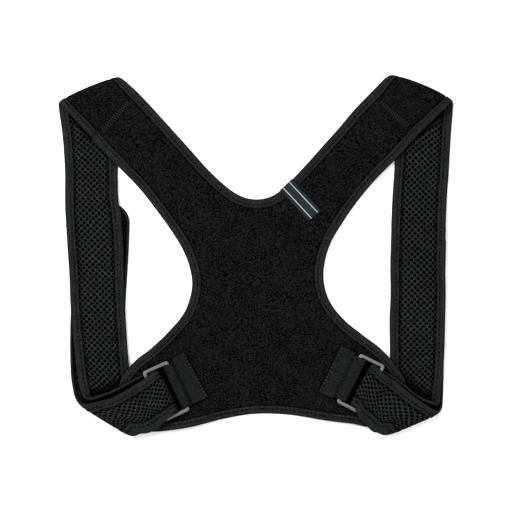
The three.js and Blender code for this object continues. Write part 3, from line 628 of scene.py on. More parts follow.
def strapPath(side):
    bend = side["ring"]["bend"] * ring["width"] + bendRoll + strap["thickness"] / 2
    turned = {"reach": bend / ring["width"], "slip": 0, "turn": -2, "grip": 1}
    back = [placedSection(side, row) for row in side["back"]]
    back += [threadedSection(side, row, entryHeight) for row in [*side["enter"], turned]]
    doubled = [threadedSection(side, row, exitHeight) for row in [turned, *side["leave"]]]
    doubled += [placedSection(side, row) for row in side["doubled"]]
    legs = [
        legLine([placedSection(side, row) for row in side["arm"]], False, lying=True),
        legLine([placedSection(side, row) for row in side["front"]], True),
        legLine(back, False),
        legLine(doubled, True),
        legLine([placedSection(side, row) for row in side["under"]], False),
    ]
    parts, outwards, marks, count = [legs[0]], [], [0], len(legs[0]["a"])
    for one, two in zip(legs, legs[1:]):
        fold, outward = foldLine(one, two)
        parts += [fold, two]
        outwards.append(outward)
        marks += [count - 1, count + len(fold["a"])]
        count += len(fold["a"]) + len(two["a"])
    path = {key: np.vstack([part[key] for part in parts]) for key in ("a", "b", "normal", "bulge")}
    path["middle"] = (path["a"] + path["b"]) / 2
    path["s"] = lengthsAlong(path["middle"])
    path["length"] = path["s"][-1]
    marks = path["s"][marks + [count - 1]]
    path["legs"] = [(marks[2 * k], marks[2 * k + 1]) for k in range(5)]
    path["folds"] = [
        ((marks[2 * k + 1] + marks[2 * k + 2]) / 2, outward, cut)
        for k, (outward, cut) in enumerate(zip(outwards, strap["cuts"]))
    ]
    gains = [skewGain(path, key) for key in "ab"]
    # the lower tape of the doubled strap lies flatter and so looks wider
    begin, end = path["legs"][3]
    first, last = (begin + x for x in tape["spreadFrom"]), (end + x for x in tape["spreadTo"])
    wide = smoothstep(path["s"], *first) * (1 - smoothstep(path["s"], *last))
    gains[1] = gains[1] * (1 + tape["spread"] * wide)
    across = path["a"] - path["b"]
    path["table"] = np.column_stack([path["middle"], across, path["bulge"], path["normal"], *gains])
    return path


def strapPoint(path, s, q, h):
    # a point of the strap: s along it, q across it and h toward its mesh face
    s, q, h = (np.asarray(x, float) for x in np.broadcast_arrays(s, q, h))
    i = np.clip(np.searchsorted(path["s"], s) - 1, 0, len(path["s"]) - 2)
    share = ((s - path["s"][i]) / (path["s"][i + 1] - path["s"][i]))[..., None]
    values = mix(path["table"][i], path["table"][i + 1], share)
    middle, across, bulge, normal = (values[..., k : k + 3] for k in (0, 3, 6, 9))
    full = np.linalg.norm(across, axis=-1)
    # a wider or narrower strap changes mostly between its tapes
    hem = tape["width"] * mix(1, full / strap["width"], strap["tapeGives"])
    hem = hem * np.where(q > 0, values[..., 12], values[..., 13])
    inner = strap["width"] / 2 - tape["width"]
    outside = full / 2 - (strap["width"] / 2 - np.abs(q)) * hem / tape["width"]
    reach = np.where(np.abs(q) <= inner, np.abs(q) / inner * (full / 2 - hem), outside)
    spread = (np.sign(q) * reach / full)[..., None]
    place = middle + across * spread + bulge * (1 - 4 * spread**2)
    for fold, outward, cut in path["folds"]:
        # the corners of a fold are rounded, as the thick edge can't turn sharply
        near = np.exp(-(((s - fold) / strap["cutLength"]) ** 2))
        into = np.clip((np.abs(q) - strap["width"] / 2) / strap["cutReach"] + 1, 0, 1)
        place = place - (near * cut * into**2)[..., None] * outward
    return place + unit(normal) * h[..., None]


def strapNormal(path, s):
    return unit(np.stack([np.interp(s, path["s"], path["normal"][:, k]) for k in range(3)], -1))


def halfWidth(path, s, inset):
    into = np.maximum(s - (path["length"] - strap["tailCorner"]), 0)
    corner = strap["tailCorner"] - inset
    return strap["width"] / 2 - strap["tailCorner"] + np.sqrt(np.maximum(corner**2 - into**2, 0))


def opened(s, leg, reaches):
    # 1 on the open stretch of a leg and 0 at its ends
    rise, full, fall, gone = reaches
    return smoothstep(s, leg[0] + rise, leg[0] + full) * (1 - smoothstep(s, leg[1] - fall, leg[1] - gone))


def crownAt(path, s):
    # the mesh face swells where nothing lies on it
    front = opened(s, path["legs"][1], strap["frontOpens"])
    doubled = opened(s, path["legs"][3], strap["doubledOpens"])
    return strap["crown"] * np.maximum(front, doubled)


def stopsAlong(path, step, end):
    # sections every step, and closer ones round the folds
    stops = [np.arange(0, end, step), [end]]
    reach = strap["foldReach"]
    for fold, _, _ in path["folds"]:
        stops.append(np.linspace(fold - reach, fold + reach, 2 * reach + 1))
    stops = np.unique(np.concatenate(stops).round(3))
    return stops[stops <= end]


paths = {name: strapPath(side) for name, side in sides.items()}
for name in paths:
    print("strap", name, "is", round(float(paths[name]["length"])), "mm long")


core = {"step": 3, "inset": 0.9, "shares": 13, "edge": 0.62, "bevel": 0.35, "outside": 1.42, "puff": 0.16,
        "lip": 0.06, "lipHeight": 0.75, "inside": 0.72, "thins": (13, 11), "fill": 0.4}


def strapCore(name, path):
    # loop fabric outside, foam backing inside, and a thin edge for the tape to hold
    inset, corner = core["inset"], strap["tailCorner"]
    rounded = path["length"] - corner + (corner - inset) * np.sin(np.linspace(0, 1.5, 8))
    s = np.unique(np.concatenate([stopsAlong(path, core["step"], path["length"] - inset), rounded]))
    edge = halfWidth(path, s, inset)
    between = halfWidth(path, s, tape["width"])
    fill = np.minimum(between, edge - 0.3)
    faceHalf = np.minimum(between + tape["width"] - loopTape(path, s), edge - 1.2)
    full = 1 - smoothstep(s, *(path["length"] - x for x in core["thins"]))
    low, bevel = core["edge"], core["bevel"]
    swell = mix(low, core["outside"], full)
    middle = np.linspace(-1, 1, core["shares"])
    rim = [(faceHalf + 0.6, -low), (edge - 0.2, -low), (edge, -bevel), (edge, bevel), (edge - 0.2, low),
           (fill + 0.6, low)]
    section = []
    for share in middle:
        # outer face, crowned between the tapes
        lip = smoothstep(1 - abs(share), 0, core["lip"])
        swollen = swell + core["puff"] * (1 - share**4) * full
        section.append((faceHalf * share, -mix(core["lipHeight"], swollen, lip)))
    section += rim
    for share in middle[::-1]:
        swollen = core["inside"] + crownAt(path, s) * (1 - share**2)
        section.append((fill * share, mix(low, swollen, full)))
    section += [(-across, height) for across, height in rim[::-1]]
    q, h = (np.stack([values[k] + 0 * s for values in section], 1) for k in (0, 1))
    points = strapPoint(path, s[:, None] + 0 * q, q, h)
    inner = strap["width"] / 2 - tape["width"]
    flat = flatPlaces(s[:, None], q * inner / faceHalf[:, None])
    piece = makePiece("strapCore_" + name, lofted(points), "loop", "strap_cloth", flat, ["strap_" + name])
    # the face under the mesh shows only as black through its holes
    shares, count = core["shares"], len(section)
    column = np.arange(count)
    first = shares + len(rim)
    inside = np.tile((column >= first) & (column < first + shares - 1), len(s) - 1)
    # and on the way back to the ring the loop face gets the same near-black finish, painted shadow for the
    # deep gap beside the doubled strap
    turn, roll = path["folds"][1][0], path["folds"][2][0]
    back = (s[:-1] > turn - 4) & (s[:-1] < roll - 10)
    gap = np.repeat(back, count) & np.tile((column < shares) | (column == count - 1), len(s) - 1)
    finishSome(piece, "foamAndGapShade", np.append(inside | gap, [False, False]))


airMesh = {
    "pitch": 6, "holeAlong": 1.72, "holeAcross": 1.66, "holeSkew": 1.4, "lip": 1.9, "reach": 18,
    "top": 1.6, "bottom": 0.8, "drop": 0.5, "jitter": 0.12, "lipShare": 0.3, "narrow": 0.94,
    "tuck": (15.4, 17.3), "tuckHeight": 0.84, "diamond": math.sqrt(0.5), "weld": 0.00002,
    # the edges that cross the front leg: between which folds, on which side and how far they shade
    "shades": ((1, 2, "a", 12), (None, 0, "a", 5), (None, 0, "b", 5)),
}


def underEdges(path, s, points):
    # how deep the front leg lies in the shade of the edges that cross it, from 0 to 1
    folds = [fold[0] for fold in path["folds"]]
    shade = np.zeros(len(points))
    front = np.flatnonzero((s > folds[0]) & (s < folds[1]))
    for start, stop, key, reach in airMesh["shades"]:
        low = 0 if start is None else folds[start]
        line = path[key][(path["s"] >= low) & (path["s"] <= folds[stop]), :2]
        apart = np.linalg.norm(points[front, None, :2] - line[None], axis=-1).min(1)
        shade[front] = np.maximum(shade[front], 1 - smoothstep(apart, 0.3 * reach, reach))
    return shade


def strapNet(name, path):
    # a knitted net of diamond cells, each with its hole
    half, reach = airMesh["pitch"] / 2, airMesh["reach"]
    end = path["length"] - tape["width"] - half
    centres = np.array([
        (half * (i + 1), q)
        for i in range(int(end / half)) for q in np.arange(-3, 4) * airMesh["pitch"] + half * (i % 2)
        if abs(q) < reach - 1
    ])
    jitter = np.random.default_rng(11).uniform(-airMesh["jitter"], airMesh["jitter"], centres.shape)
    angle = np.arange(8) * math.pi / 4
    circle = np.stack([np.cos(angle), np.sin(angle)], 1)
    diamond = circle * half
    diamond[1::2] *= airMesh["diamond"]
    hole = circle * [airMesh["holeAlong"], airMesh["holeAcross"]]
    hole[1::2] = circle[1::2] * airMesh["holeSkew"]  # a soft diamond
    lip = mix(circle * airMesh["lip"], diamond, airMesh["lipShare"])
    top, bottom = airMesh["top"], airMesh["bottom"]
    levels = [
        (diamond, top, 0), (lip, top - 0.1, 1), (hole, top - airMesh["drop"], 1),
        (hole * airMesh["narrow"], bottom, 1), (diamond, bottom, 0),
    ]
    points = []
    for offset, height, moves in levels:
        s, q = np.moveaxis(centres[:, None] + offset + moves * jitter[:, None], -1, 0)
        q = np.clip(q, -reach, reach)
        tuck = smoothstep(np.abs(q), *airMesh["tuck"])  # the net's edge goes under the tape
        room = crownAt(path, s) * (1 - (q / reach) ** 2)
        h = np.minimum(height, mix(top, airMesh["tuckHeight"], tuck)) + room
        limit = halfWidth(path, s, tape["width"] - 1)
        points.append(strapPoint(path, s, np.clip(q, -limit, limit), np.maximum(h, bottom - 0.05)))
    stacked = np.stack(points, 1)  # cell, level, corner
    count, cell = len(centres), len(levels) * len(angle)
    index = np.arange(count * cell).reshape(count, len(levels), len(angle))
    beside = np.roll(index, -1, axis=2)
    quads = np.stack([index[:, :-1], index[:, 1:], beside[:, 1:], beside[:, :-1]], -1).reshape(-1, 4)
    offsets = np.concatenate([level[0] for level in levels])
    flat = np.repeat(centres, cell, axis=0) + np.tile(offsets, (count, 1))
    vertices = stacked.reshape(-1, 3)
    piece = makePiece("airMesh_" + name, (vertices, quads.tolist()), "mesh", "air_mesh", flat,
                      ["strap_mesh_" + name])
    # painted shadow of the crossing edges, stored per point
    under = piece.data.attributes.new("under", "FLOAT", "POINT")
    under.data.foreach_set("value", underEdges(path, np.repeat(centres[:, 0], cell), vertices))
    welded(piece, airMesh["weld"])


def tapeProfile(width, half):
    # the folded tape is a C round a thin edge: e runs in from the edge, h is the height
    wall = tape["wall"]
    dip = width - tape["width"] + tape["holesIn"]
    outer = [
        (width - 0.02, half * 0.62), (width - 0.3, half * 0.86), (width - 1.2, half * 0.97),
        (dip + 0.8, half * 0.91), (dip, half * 0.82), (dip - 0.8, half * 0.9), (dip - 2.2, half * 0.99),
        (half + 0.7, half),
    ]
    around = [
        (half * (1 - math.cos(angle)), half * math.sin(angle))
        for angle in np.linspace(math.pi / 2, -math.pi / 2, 9)
    ]
    back = [(e, -h) for e, h in outer[::-1]]
    inner = [(width - 0.3, -(half - wall) * 0.98), (half, -(half - wall)), (wall + 0.15, 0),
             (half, half - wall), (width - 0.3, (half - wall) * 0.98)]
    return np.array(outer + around + back + inner)


def pucker(count):
    # the tape is a little thicker and thinner in turn, as stitches pull it in
    return 1 + tape["pucker"] * np.cos(np.arange(count) * math.pi)


def acrossTape(profile, width):
    # in from the edge, as if all tapes were equally wide, with the sign of the face
    return (profile[:, 0] + tape["width"] - width) * np.where(profile[:, 1] < 0, -1, 1)


def loopTape(path, s):
    # how wide the tape shows on the loop side: less at the shoulder and past the lower folds
    shoulder, turn = path["folds"][0][0], path["folds"][1][0]
    return np.interp(s, [0, shoulder, shoulder + 20, turn - 20, turn],
                     [tape["atSeam"], tape["atShoulder"], tape["width"], tape["width"], tape["atTurn"]])


def tapeIn(path, s, e):
    # how far in a place of the tape's loop side lies
    half = strap["thickness"] / 2
    narrow = half + (e - half) * (loopTape(path, s) - half) / (tape["width"] - half)
    return np.where(e > half, narrow, e)


def strapTape(name, path):
    # up one edge, round the free end and down the other edge
    profile = tapeProfile(tape["width"], strap["thickness"] / 2)
    corner, wide = strap["tailCorner"], strap["width"] / 2
    straight = stopsAlong(path, tape["step"], path["length"] - corner - 1)
    straight[0] = -body["gap"]
    angle = np.linspace(0, math.pi / 2, 14)
    s = np.concatenate([straight, path["length"] - corner + corner * np.sin(angle)])
    q = np.concatenate([straight * 0 + wide, wide - corner + corner * np.cos(angle)])
    ns = np.concatenate([straight * 0, -np.sin(angle)])
    nq = np.concatenate([straight * 0 - 1, -np.cos(angle)])
    s, q, ns, nq = (
        np.concatenate([values, sign * values[::-1]])[:, None]
        for values, sign in ((s, 1), (q, -1), (ns, 1), (nq, -1))
    )
    e, h = profile[None, :, 0] + 0 * s, profile[:, 1]
    e = np.where(h < 0, tapeIn(path, s, e), e)
    points = strapPoint(path, s + ns * e, q + nq * e, h * pucker(len(s))[:, None])
    run = lengthsAlong(np.hstack([s, q]))
    flat = flatPlaces(run[:, None], acrossTape(profile, tape["width"]))
    makePiece("strapBinding_" + name, lofted(points), "tape", "edge_tape", flat, ["strap_binding_" + name])


thread = {"pitch": 4.3, "long": 2.4, "radius": 0.34, "sides": 6, "hole": 0.85, "flat": 1.15,
          # along the stitch as a share, and how thick it is there
          "shape": ((-0.5, 0.25), (-0.34, 0.85), (0, 1), (0.34, 0.85), (0.5, 0.25)), "raised": 0.35,
          "sunk": 2.4,
          # a dimple's width as a share, and its height
          "dimple": ((0.45, 0.16), (0.8, 0.12), (1, -0.1))}


def spaced(line, normals, pitch, between=False):
    # even places along a line with its way and its up, or the places between them
    length = lengthsAlong(line)[-1]
    count = max(int(length / pitch), 1)
    places = (np.arange(1, count) if between else np.arange(count) + 0.5) * length / count
    centres, ups = resample(line, places, normals)
    return centres, unit(resample(line, places + 0.4)[0] - resample(line, places - 0.4)[0]), ups


def copiedFaces(shape, count):
    # the faces of one small body, given as rings of points, for all of its copies
    faces = lofted(shape)[1]
    step = shape.shape[0] * shape.shape[1]
    return [[i + k * step for i in face] for k in range(count) for face in faces]


def copied(shape, centres, *axes):
    # the small body at every centre, in the axes found there
    shape = np.array(shape)
    points = centres[:, None] + np.einsum("vk,nkc->nvc", shape.reshape(-1, 3), np.stack(axes, 1))
    return points.reshape(-1, 3), copiedFaces(shape, len(centres))


def stitchRow(line, normals, pitch=thread["pitch"], long=thread["long"], radius=thread["radius"]):
    # separate stitches along a line, each one arched with its ends sunk into the cloth
    centres, ways, ups = spaced(line, normals, pitch)
    ups = unit(ups - ways * (ups * ways).sum(1, keepdims=True))
    turn = np.arange(thread["sides"]) * 2 * math.pi / thread["sides"]
    shape = []
    for along, thick in thread["shape"]:
        level = radius * thread["raised"] * (1 - thread["sunk"] * (2 * along) ** 2)
        beside, up = radius * thick * thread["flat"] * np.cos(turn), level + radius * thick * np.sin(turn)
        shape.append(np.column_stack([along * long + 0 * turn, beside, up]))
    return copied(shape, centres, ways, np.cross(ways, ups), ups)


def needleHoles(line, normals, pitch=thread["pitch"], radius=thread["hole"]):
    # near-black dimples between the stitches where the needle went through, painted shade of the needle
    # holes
    centres, ways, ups = spaced(line, normals, pitch, between=True)
    turn = np.arange(8) * math.pi / 4
    shape = [
        [(radius * share * math.cos(t), radius * share * thread["flat"] * math.sin(t), level) for t in turn]
        for share, level in thread["dimple"]
    ]
    return copied(shape, centres, ways, np.cross(ways, ups), unit(ups))


def sewnPiece(name, threads, holes, slotName, finish="thread", **sizes):
    # stitches along some lines of points and normals and near-black needle holes, painted shade, along
    # others, as one piece
    stitches = [stitchRow(line, ups, **sizes) for line, ups in threads]
    dimples = [needleHoles(line, ups, sizes.get("pitch", thread["pitch"])) for line, ups in holes]
    light = sum(len(faces) for _, faces in stitches)
    points, faces = joined([(points, turnedOut(points, faces)) for points, faces in stitches + dimples])
    piece = makePiece(name, (points, faces), finish, slotName)
    finishSome(piece, "needleShade", np.arange(len(faces)) >= light)


def strapStitches(name, path):
    # round the free end on the mesh side, and only down to the lower turn on the loop side
    corner, half, wide = strap["tailCorner"], strap["thickness"] / 2, strap["width"] / 2
    straight = np.arange(3, path["length"] - corner, 1.0)
    shown = np.arange(3, path["folds"][1][0] - 6, 1.0)
    angle = np.linspace(0, math.pi / 2, 12)
    lines = []
    for key in ("threadIn", "holesIn"):
        level, turn = half * tape[key + "Level"], corner - tape[key]
        s = np.concatenate([straight, path["length"] - corner + turn * np.sin(angle)])
        q = np.concatenate([wide - tape[key] + 0 * straight, wide - corner + turn * np.cos(angle)])
        s, q = np.concatenate([s, s[::-1]]), np.concatenate([q, -q[::-1]])
        found = [(strapPoint(path, s, q, level), strapNormal(path, s))]
        q = wide - tapeIn(path, shown, tape[key] + 0 * shown)
        found += [(strapPoint(path, shown, way * q, -level), -strapNormal(path, shown)) for way in (1, -1)]
        lines.append(found)
    sewnPiece("strapStitches_" + name, *lines, "edge_tape")


def threadLine(points, radius, sides=5):
    # a continuous thread along a line
    points = np.asarray(points, float)
    ways = unit(np.gradient(points, axis=0))
    beside = unit(np.cross(ways, (0, 0, 1)))
    up = np.cross(beside, ways)
    turn = np.arange(sides) * 2 * math.pi / sides
    rings = points[:, None] + radius * (
        np.cos(turn)[None, :, None] * beside[:, None] + np.sin(turn)[None, :, None] * up[:, None]
    )
    return lofted(rings)


zigzag = {"pitch": 1.9, "half": 3.8, "radius": 0.3, "reach": 15, "over": 0.5, "place": -2.2}


def shoulderSeam(name, path):
    # zigzag band where the strap is sewn to the arm of the panel
    count = int(2 * zigzag["reach"] / zigzag["pitch"]) * 2
    stops, fine = np.arange(count + 1), np.linspace(0, count, count * 4 + 1)
    s = np.where(stops % 2 == 0, -zigzag["half"], zigzag["half"]) + zigzag["place"]
    s, q = np.interp(fine, stops, s), np.linspace(-zigzag["reach"], zigzag["reach"], len(fine))
    level = strap["thickness"] / 2 + zigzag["over"]
    lines = [threadLine(strapPoint(path, s, q, face * level), zigzag["radius"]) for face in (-1, 1)]
    makePiece("shoulderSeam_" + name, joined(lines), "seam", "edge_tape")


for name, path in paths.items():
    strapCore(name, path)
    strapNet(name, path)
    strapTape(name, path)
    strapStitches(name, path)
    shoulderSeam(name, path)
    print("strap", name, "made")


def hookPad(name, path):
    # a thin pad with rounded corners under the free end
    end = path["length"] - hook["inset"]
    half, corner = hook["width"] / 2, hook["corner"]
    s = np.linspace(end - hook["length"], end, 17)
    q = np.linspace(-half, half, 15)
    low = -strap["thickness"] / 2 - body["gap"]
    under = low - hook["thickness"] * hook["sheet"]
    gone = np.maximum(corner - np.minimum(s - s[0], s[-1] - s), 0)
    wide = 1 - (corner - np.sqrt(corner**2 - gone**2)) / half
    across = wide[:, None] * np.concatenate([q, q[::-1]])
    pad = lofted(strapPoint(path, s[:, None], across, np.repeat([low, under], len(q))))
    # rows of small hooks on the pad
    edge, pitch = hook["edge"], hook["pitch"]
    stems = np.array([
        (place, across)
        for place in np.arange(s[0] + edge, s[-1] - 2, pitch)
        for across in np.arange(edge - half, half - 2, pitch)
    ])
    turn = np.arange(4) * math.pi / 2
    radius = hook["radius"]
    shape = np.array([
        [(radius * math.cos(t) + lean, radius * math.sin(t), -level) for t in turn]
        for lean, level in hook["stem"]
    ])
    place, across = np.moveaxis(stems[:, None] + shape.reshape(-1, 3)[None, :, :2], -1, 0)
    base = low - hook["thickness"] * hook["base"]
    points = strapPoint(path, place, across, base + shape.reshape(-1, 3)[:, 2])
    hooks = points.reshape(-1, 3), copiedFaces(shape, len(stems))
    makePiece("hookPad_" + name, joined([pad, hooks]), "hook", "hook_pad", stands=["hook_pad_" + name])


for name, path in paths.items():
    hookPad(name, path)
print("hook pads made")


def panelEdges(name, side):
    # the arm hole and the outer edge in plan, from the seam of the arm through the ends of the ribs
    starts = paths[name]["a"][0, :2], paths[name]["b"][0, :2]
    return [
        np.array([start] + [bodyPoint(side, rib[key + "Out"], rib[key + "Up"]) for rib in side["ribs"]])
        for key, start in zip(("hole", "edge"), starts)
    ]


ribs = {name: panelEdges(name, side) for name, side in sides.items()}
leftEdge, rightEdge = ribs["left"][1], ribs["right"][1]
neckPoints = np.vstack([leftEdge[: neckRib + 1], rightEdge[:neckRib][::-1]])
hemPoints = np.vstack([leftEdge[hemRib:][::-1], rightEdge[hemRib + 1 :]])
neckLine, hemLine = curveThrough(neckPoints), curveThrough(hemPoints)
holeLines = {name: curveThrough(ribs[name][0]) for name in sides}


def fineRun(line, inside, ends, step):
    # points along an edge and the way in from it, turned to the last ribs at both ends
    rough = line(np.linspace(0, 1, 600))
    along = lengthsAlong(rough)
    share = np.interp(np.linspace(0, along[-1], int(along[-1] / step) + 1), along, np.linspace(0, 1, 600))
    points = line(share)
    tangent = unit(np.gradient(points, axis=0))
    way = np.stack([tangent[:, 1], -tangent[:, 0]], 1) * inside
    along = lengthsAlong(points)
    for place, end in ((0, ends[0]), (-1, ends[1])):
        wanted = unit(end - points[place])
        near = np.exp(-((np.abs(along - along[place]) / 5) ** 2))[:, None]
        way = unit(mix(way, wanted, near))
    return points, way


def seamEnds(*ends):
    # where the ribs at the two ends of an edge lead to
    return [ribs[name][which][place] for name, which, place in ends]


runs = {
    "neck": (neckLine, 1, seamEnds(("left", 0, 0), ("right", 0, 0)), tape["width"]),
    "hem": (hemLine, -1, seamEnds(("left", 0, -1), ("right", 0, -1)), tape["hemWidth"]),
    "armhole_left": (holeLines["left"], -1, seamEnds(("left", 1, 0), ("left", 1, -1)), tape["width"]),
    "armhole_right": (holeLines["right"], 1, seamEnds(("right", 1, 0), ("right", 1, -1)), tape["width"]),
}


def edgeDistance(xy, atOnce=2000):
    # how far in from the nearest bound edge, counted as if all tapes were equally wide
    best = np.full(len(xy), 1e9)
    for line, _, _, width in runs.values():
        points = line(np.linspace(0, 1, 400))
        a, step = points[:-1], np.diff(points, axis=0)
        for start in range(0, len(xy), atOnce):
            some = slice(start, start + atOnce)
            off = xy[some, None] - a
            along = np.clip((off * step).sum(-1) / (step**2).sum(-1), 0, 1)
            apart = np.linalg.norm(off - along[..., None] * step, axis=-1).min(1)
            best[some] = np.minimum(best[some], apart + tape["width"] - width)
    return best


# places in from a bound edge, closer where the swell begins, and the width that they need
edging = {"places": np.array([0, 3, 6.6, 7.6, 8.1, 8.6, 9.3, 10.4, 12.5]), "room": 17,
          # half the panel's thickness by the distance in from the tape's inner edge
          "swell": ([-9, -1.4, -0.4, 0.2, 1, 3, 20], [0.62, 0.66, 0.8, 1.15, 1.42, 1.5, 1.5])}


def panelHalf(name):
    # one half of the panel as a grid from the arm hole to the neck, the middle line or the hem
    hole, edge = ribs[name]
    inset, count = panel["inset"], len(hole) - 1
    u = np.linspace(0, count, count * panel["ribSteps"] + 1)
    holeSpots = holeLines[name](u / count)
    neckTotal, hemTotal = len(neckPoints) - 1, len(hemPoints) - 1
    neckAt = u if name == "left" else neckTotal - u
    hemAt = count - u if name == "left" else len(leftEdge) - 1 - hemRib + (u - hemRib)
    neckSpots = neckLine(np.clip(neckAt / neckTotal, 0, 1))
    hemSpots = hemLine(np.clip(hemAt / hemTotal, 0, 1))
    far = np.where((u <= neckRib)[:, None], neckSpots, hemSpots)
    between = (u > neckRib) & (u < hemRib)
    middleY = np.interp(u, np.arange(count + 1), edge[:, 1])
    far[between] = np.stack([0 * u, middleY], 1)[between]
    way = unit(far - holeSpots)
    holeSpots = holeSpots + way * inset
    pulled = far - way * inset
    onMiddle = (u >= neckRib) & (u <= hemRib)
    pulled[onMiddle] = far[onMiddle]
    pulled[np.abs(u - neckRib) < 1e-6, 1] -= inset
    pulled[np.abs(u - hemRib) < 1e-6, 1] += inset
    length = np.linalg.norm(pulled - holeSpots, axis=1)[:, None]
    near = edging["places"] * np.minimum(1, length / 2 / edging["room"])
    inner = np.linspace(0, 1, panel["middleSteps"] + 2)[1:-1]
    last = near[:, -1:]
    d = np.hstack([near, mix(last, length - last, inner), length - near[:, ::-1]])
    return mix(holeSpots[:, None], pulled[:, None], (d / length)[..., None])


def backPanel():
    parts, flats = [], []
    for name in sides:
        plan = panelHalf(name)
        n, m = plan.shape[:2]
        xy = plan.reshape(-1, 2)
        xy[np.abs(xy[:, 0]) < 0.02, 0] = 0
        away = edgeDistance(xy)
        half = np.interp(away - tape["width"], *edging["swell"])
        centre = panelHeight(xy)
        wide, high = panel["waveLengths"]
        waves = panel["wave"] * np.sin(xy[:, 0] / wide + 1.3) * np.sin(xy[:, 1] / high)
        crown = panel["crown"] * smoothstep(away, *panel["crownFrom"])
        crown = crown + waves * smoothstep(away, *panel["waveFrom"])
        top, bottom = np.column_stack([xy, centre + half + crown]), np.column_stack([xy, centre - half])
        quads = np.vstack([grid(n, m), grid(n, m, n * m)[:, ::-1]])
        # the rim runs round the grid, but for the middle line where the halves meet
        index = np.arange(n * m).reshape(n, m)
        last = index[:, -1]
        neckEnd, hemStart = neckRib * panel["ribSteps"] + 1, hemRib * panel["ribSteps"]
        for run in (index[0], index[-1][::-1], index[::-1, 0], last[:neckEnd], last[hemStart:]):
            strip = np.stack([run[:-1], run[1:], run[1:] + n * m, run[:-1] + n * m], -1)
            quads = np.vstack([quads, strip])
        parts.append((np.vstack([top, bottom]), quads.tolist()))
        flats += [np.column_stack([xy[:, 0], np.maximum(strap["width"] / 2 - away, 0)])] * 2
    piece = makePiece("backPanel", joined(parts), "loop", "panel_cloth", np.vstack(flats), ["back_panel"])
    welded(piece, 0.00001, turned=True)


backPanel()
print("back panel made")


def edgeAxes(points, way):
    # place, way in along the cloth and the cloth's own up at each point of an edge
    base = np.column_stack([points, panelHeight(points)])
    ahead = panelHeight(points + way) - base[:, 2]
    inward = unit(np.column_stack([way, ahead]))
    beside = np.stack([way[:, 1], -way[:, 0]], 1)
    climb = unit(np.column_stack([beside, panelHeight(points + beside) - base[:, 2]]))
    normal = unit(np.cross(climb, inward))
    normal[normal[:, 2] < 0] *= -1
    return base, inward, normal


def panelBindings():
    for name, (line, inside, ends, width) in runs.items():
        points, way = fineRun(line, inside, ends, tape["step"])
        base, inward, normal = edgeAxes(points, way)
        profile = tapeProfile(width, panel["thickness"] / 2 + 0.05)
        lift = profile[None, :, 1:] * pucker(len(points))[:, None, None]
        flat = flatPlaces(lengthsAlong(points)[:, None], acrossTape(profile, width))
        points = base[:, None] + inward[:, None] * profile[None, :, :1] + normal[:, None] * lift
        edge, *which = name.split("_")
        node = "_".join([edge, "binding", *which])
        makePiece("binding_" + name, lofted(points), "tape", "edge_tape", flat, [node])
        lines = []
        for key in ("threadIn", "holesIn"):
            place = base + inward * (width - tape["width"] + tape[key])
            level = profile[:, 1].max() * tape[key + "Level"]
            found = [(place + normal * face * level, normal * face) for face in (1, -1)]
            lines.append([(spots[2:-2], ups[2:-2]) for spots, ups in found])
        sewnPiece("stitches_" + name, *lines, "edge_tape", "hemThread" if name == "hem" else "thread")


panelBindings()
print("bindings made")


def ringLevels(side):
    # half the way between the two long bars, where the webbing turns, and the heights of both bars
    arm = (ring["width"] - ring["bar"]) / 2
    tip = side["ring"]["bend"] * ring["width"] - webbing["slotGap"]
    rollFloor = wingHeight(side, tip) + panel["thickness"] / 2 + body["gap"] + webbing["thickness"]
    inner = rollFloor + body["gap"] + (ring["thickness"] + ring["play"]) / 2
    return arm, tip, inner, (entryHeight + exitHeight) / 2


def roundedOutline(width, length, corner, steps=8):
    # a rounded oblong with a few places along each straight side
    around = ((1, 1), (-1, 1), (-1, -1), (1, -1))
    points = []
    for k, (sx, sy) in enumerate(around):
        for angle in math.pi / 2 * (k + np.arange(steps + 1) / steps):
            rounding = np.array([math.cos(angle), math.sin(angle)]) * corner
            points.append(np.array([sx * (width / 2 - corner), sy * (length / 2 - corner)]) + rounding)
        nx, ny = around[(k + 1) % 4]
        end = np.array([nx * (width / 2 - corner), ny * (length / 2 - corner)]) + rounding
        begin = points[-1]
        points += [mix(begin, end, share) for share in (0.25, 0.5, 0.75)]
    return np.array(points)


def ringPiece(name, side):
    outer = roundedOutline(ring["width"], ring["length"], ring["corner"])
    bars = 2 * ring["bar"]
    inner = roundedOutline(ring["width"] - bars, ring["length"] - bars, ring["corner"] / 3)
    turn = np.linspace(0, 2 * math.pi, 21)[:-1]
    # a soft-cornered flat bar
    x, z = (np.sign(part) * np.abs(part) ** ring["flatness"] for part in (np.cos(turn), np.sin(turn)))
    z = z * ring["thickness"] / 2
    plan = mix(inner[:, None], outer[:, None], ((x + 1) / 2)[None, :, None])
    arm, _, low, high = ringLevels(side)
    tilt = math.atan2(high - low, 2 * arm)
    middle, _, outward = ringFrame(side)
    across = np.array([*(outward * math.cos(tilt)), math.sin(tilt)])
    lengthwise = np.array([-outward[1], outward[0], 0])
    normal = np.cross(across, lengthwise)
    centre = np.array([*middle, (low + high) / 2])
    points = centre + plan[..., :1] * across + plan[..., 1:] * lengthwise + z[None, :, None] * normal
    n, m = points.shape[:2]
    index = np.arange(n * m).reshape(n, m)
    ahead, beside = np.roll(index, -1, axis=0), np.roll(index, -1, axis=1)
    quads = np.stack([index, beside, np.roll(ahead, -1, axis=1), ahead], -1).reshape(-1, 4)
    solid = points.reshape(-1, 3), quads.tolist()
    makePiece("ring_" + name + "_bar", solid, "ring", "ring_metal", stands=["ring_" + name])


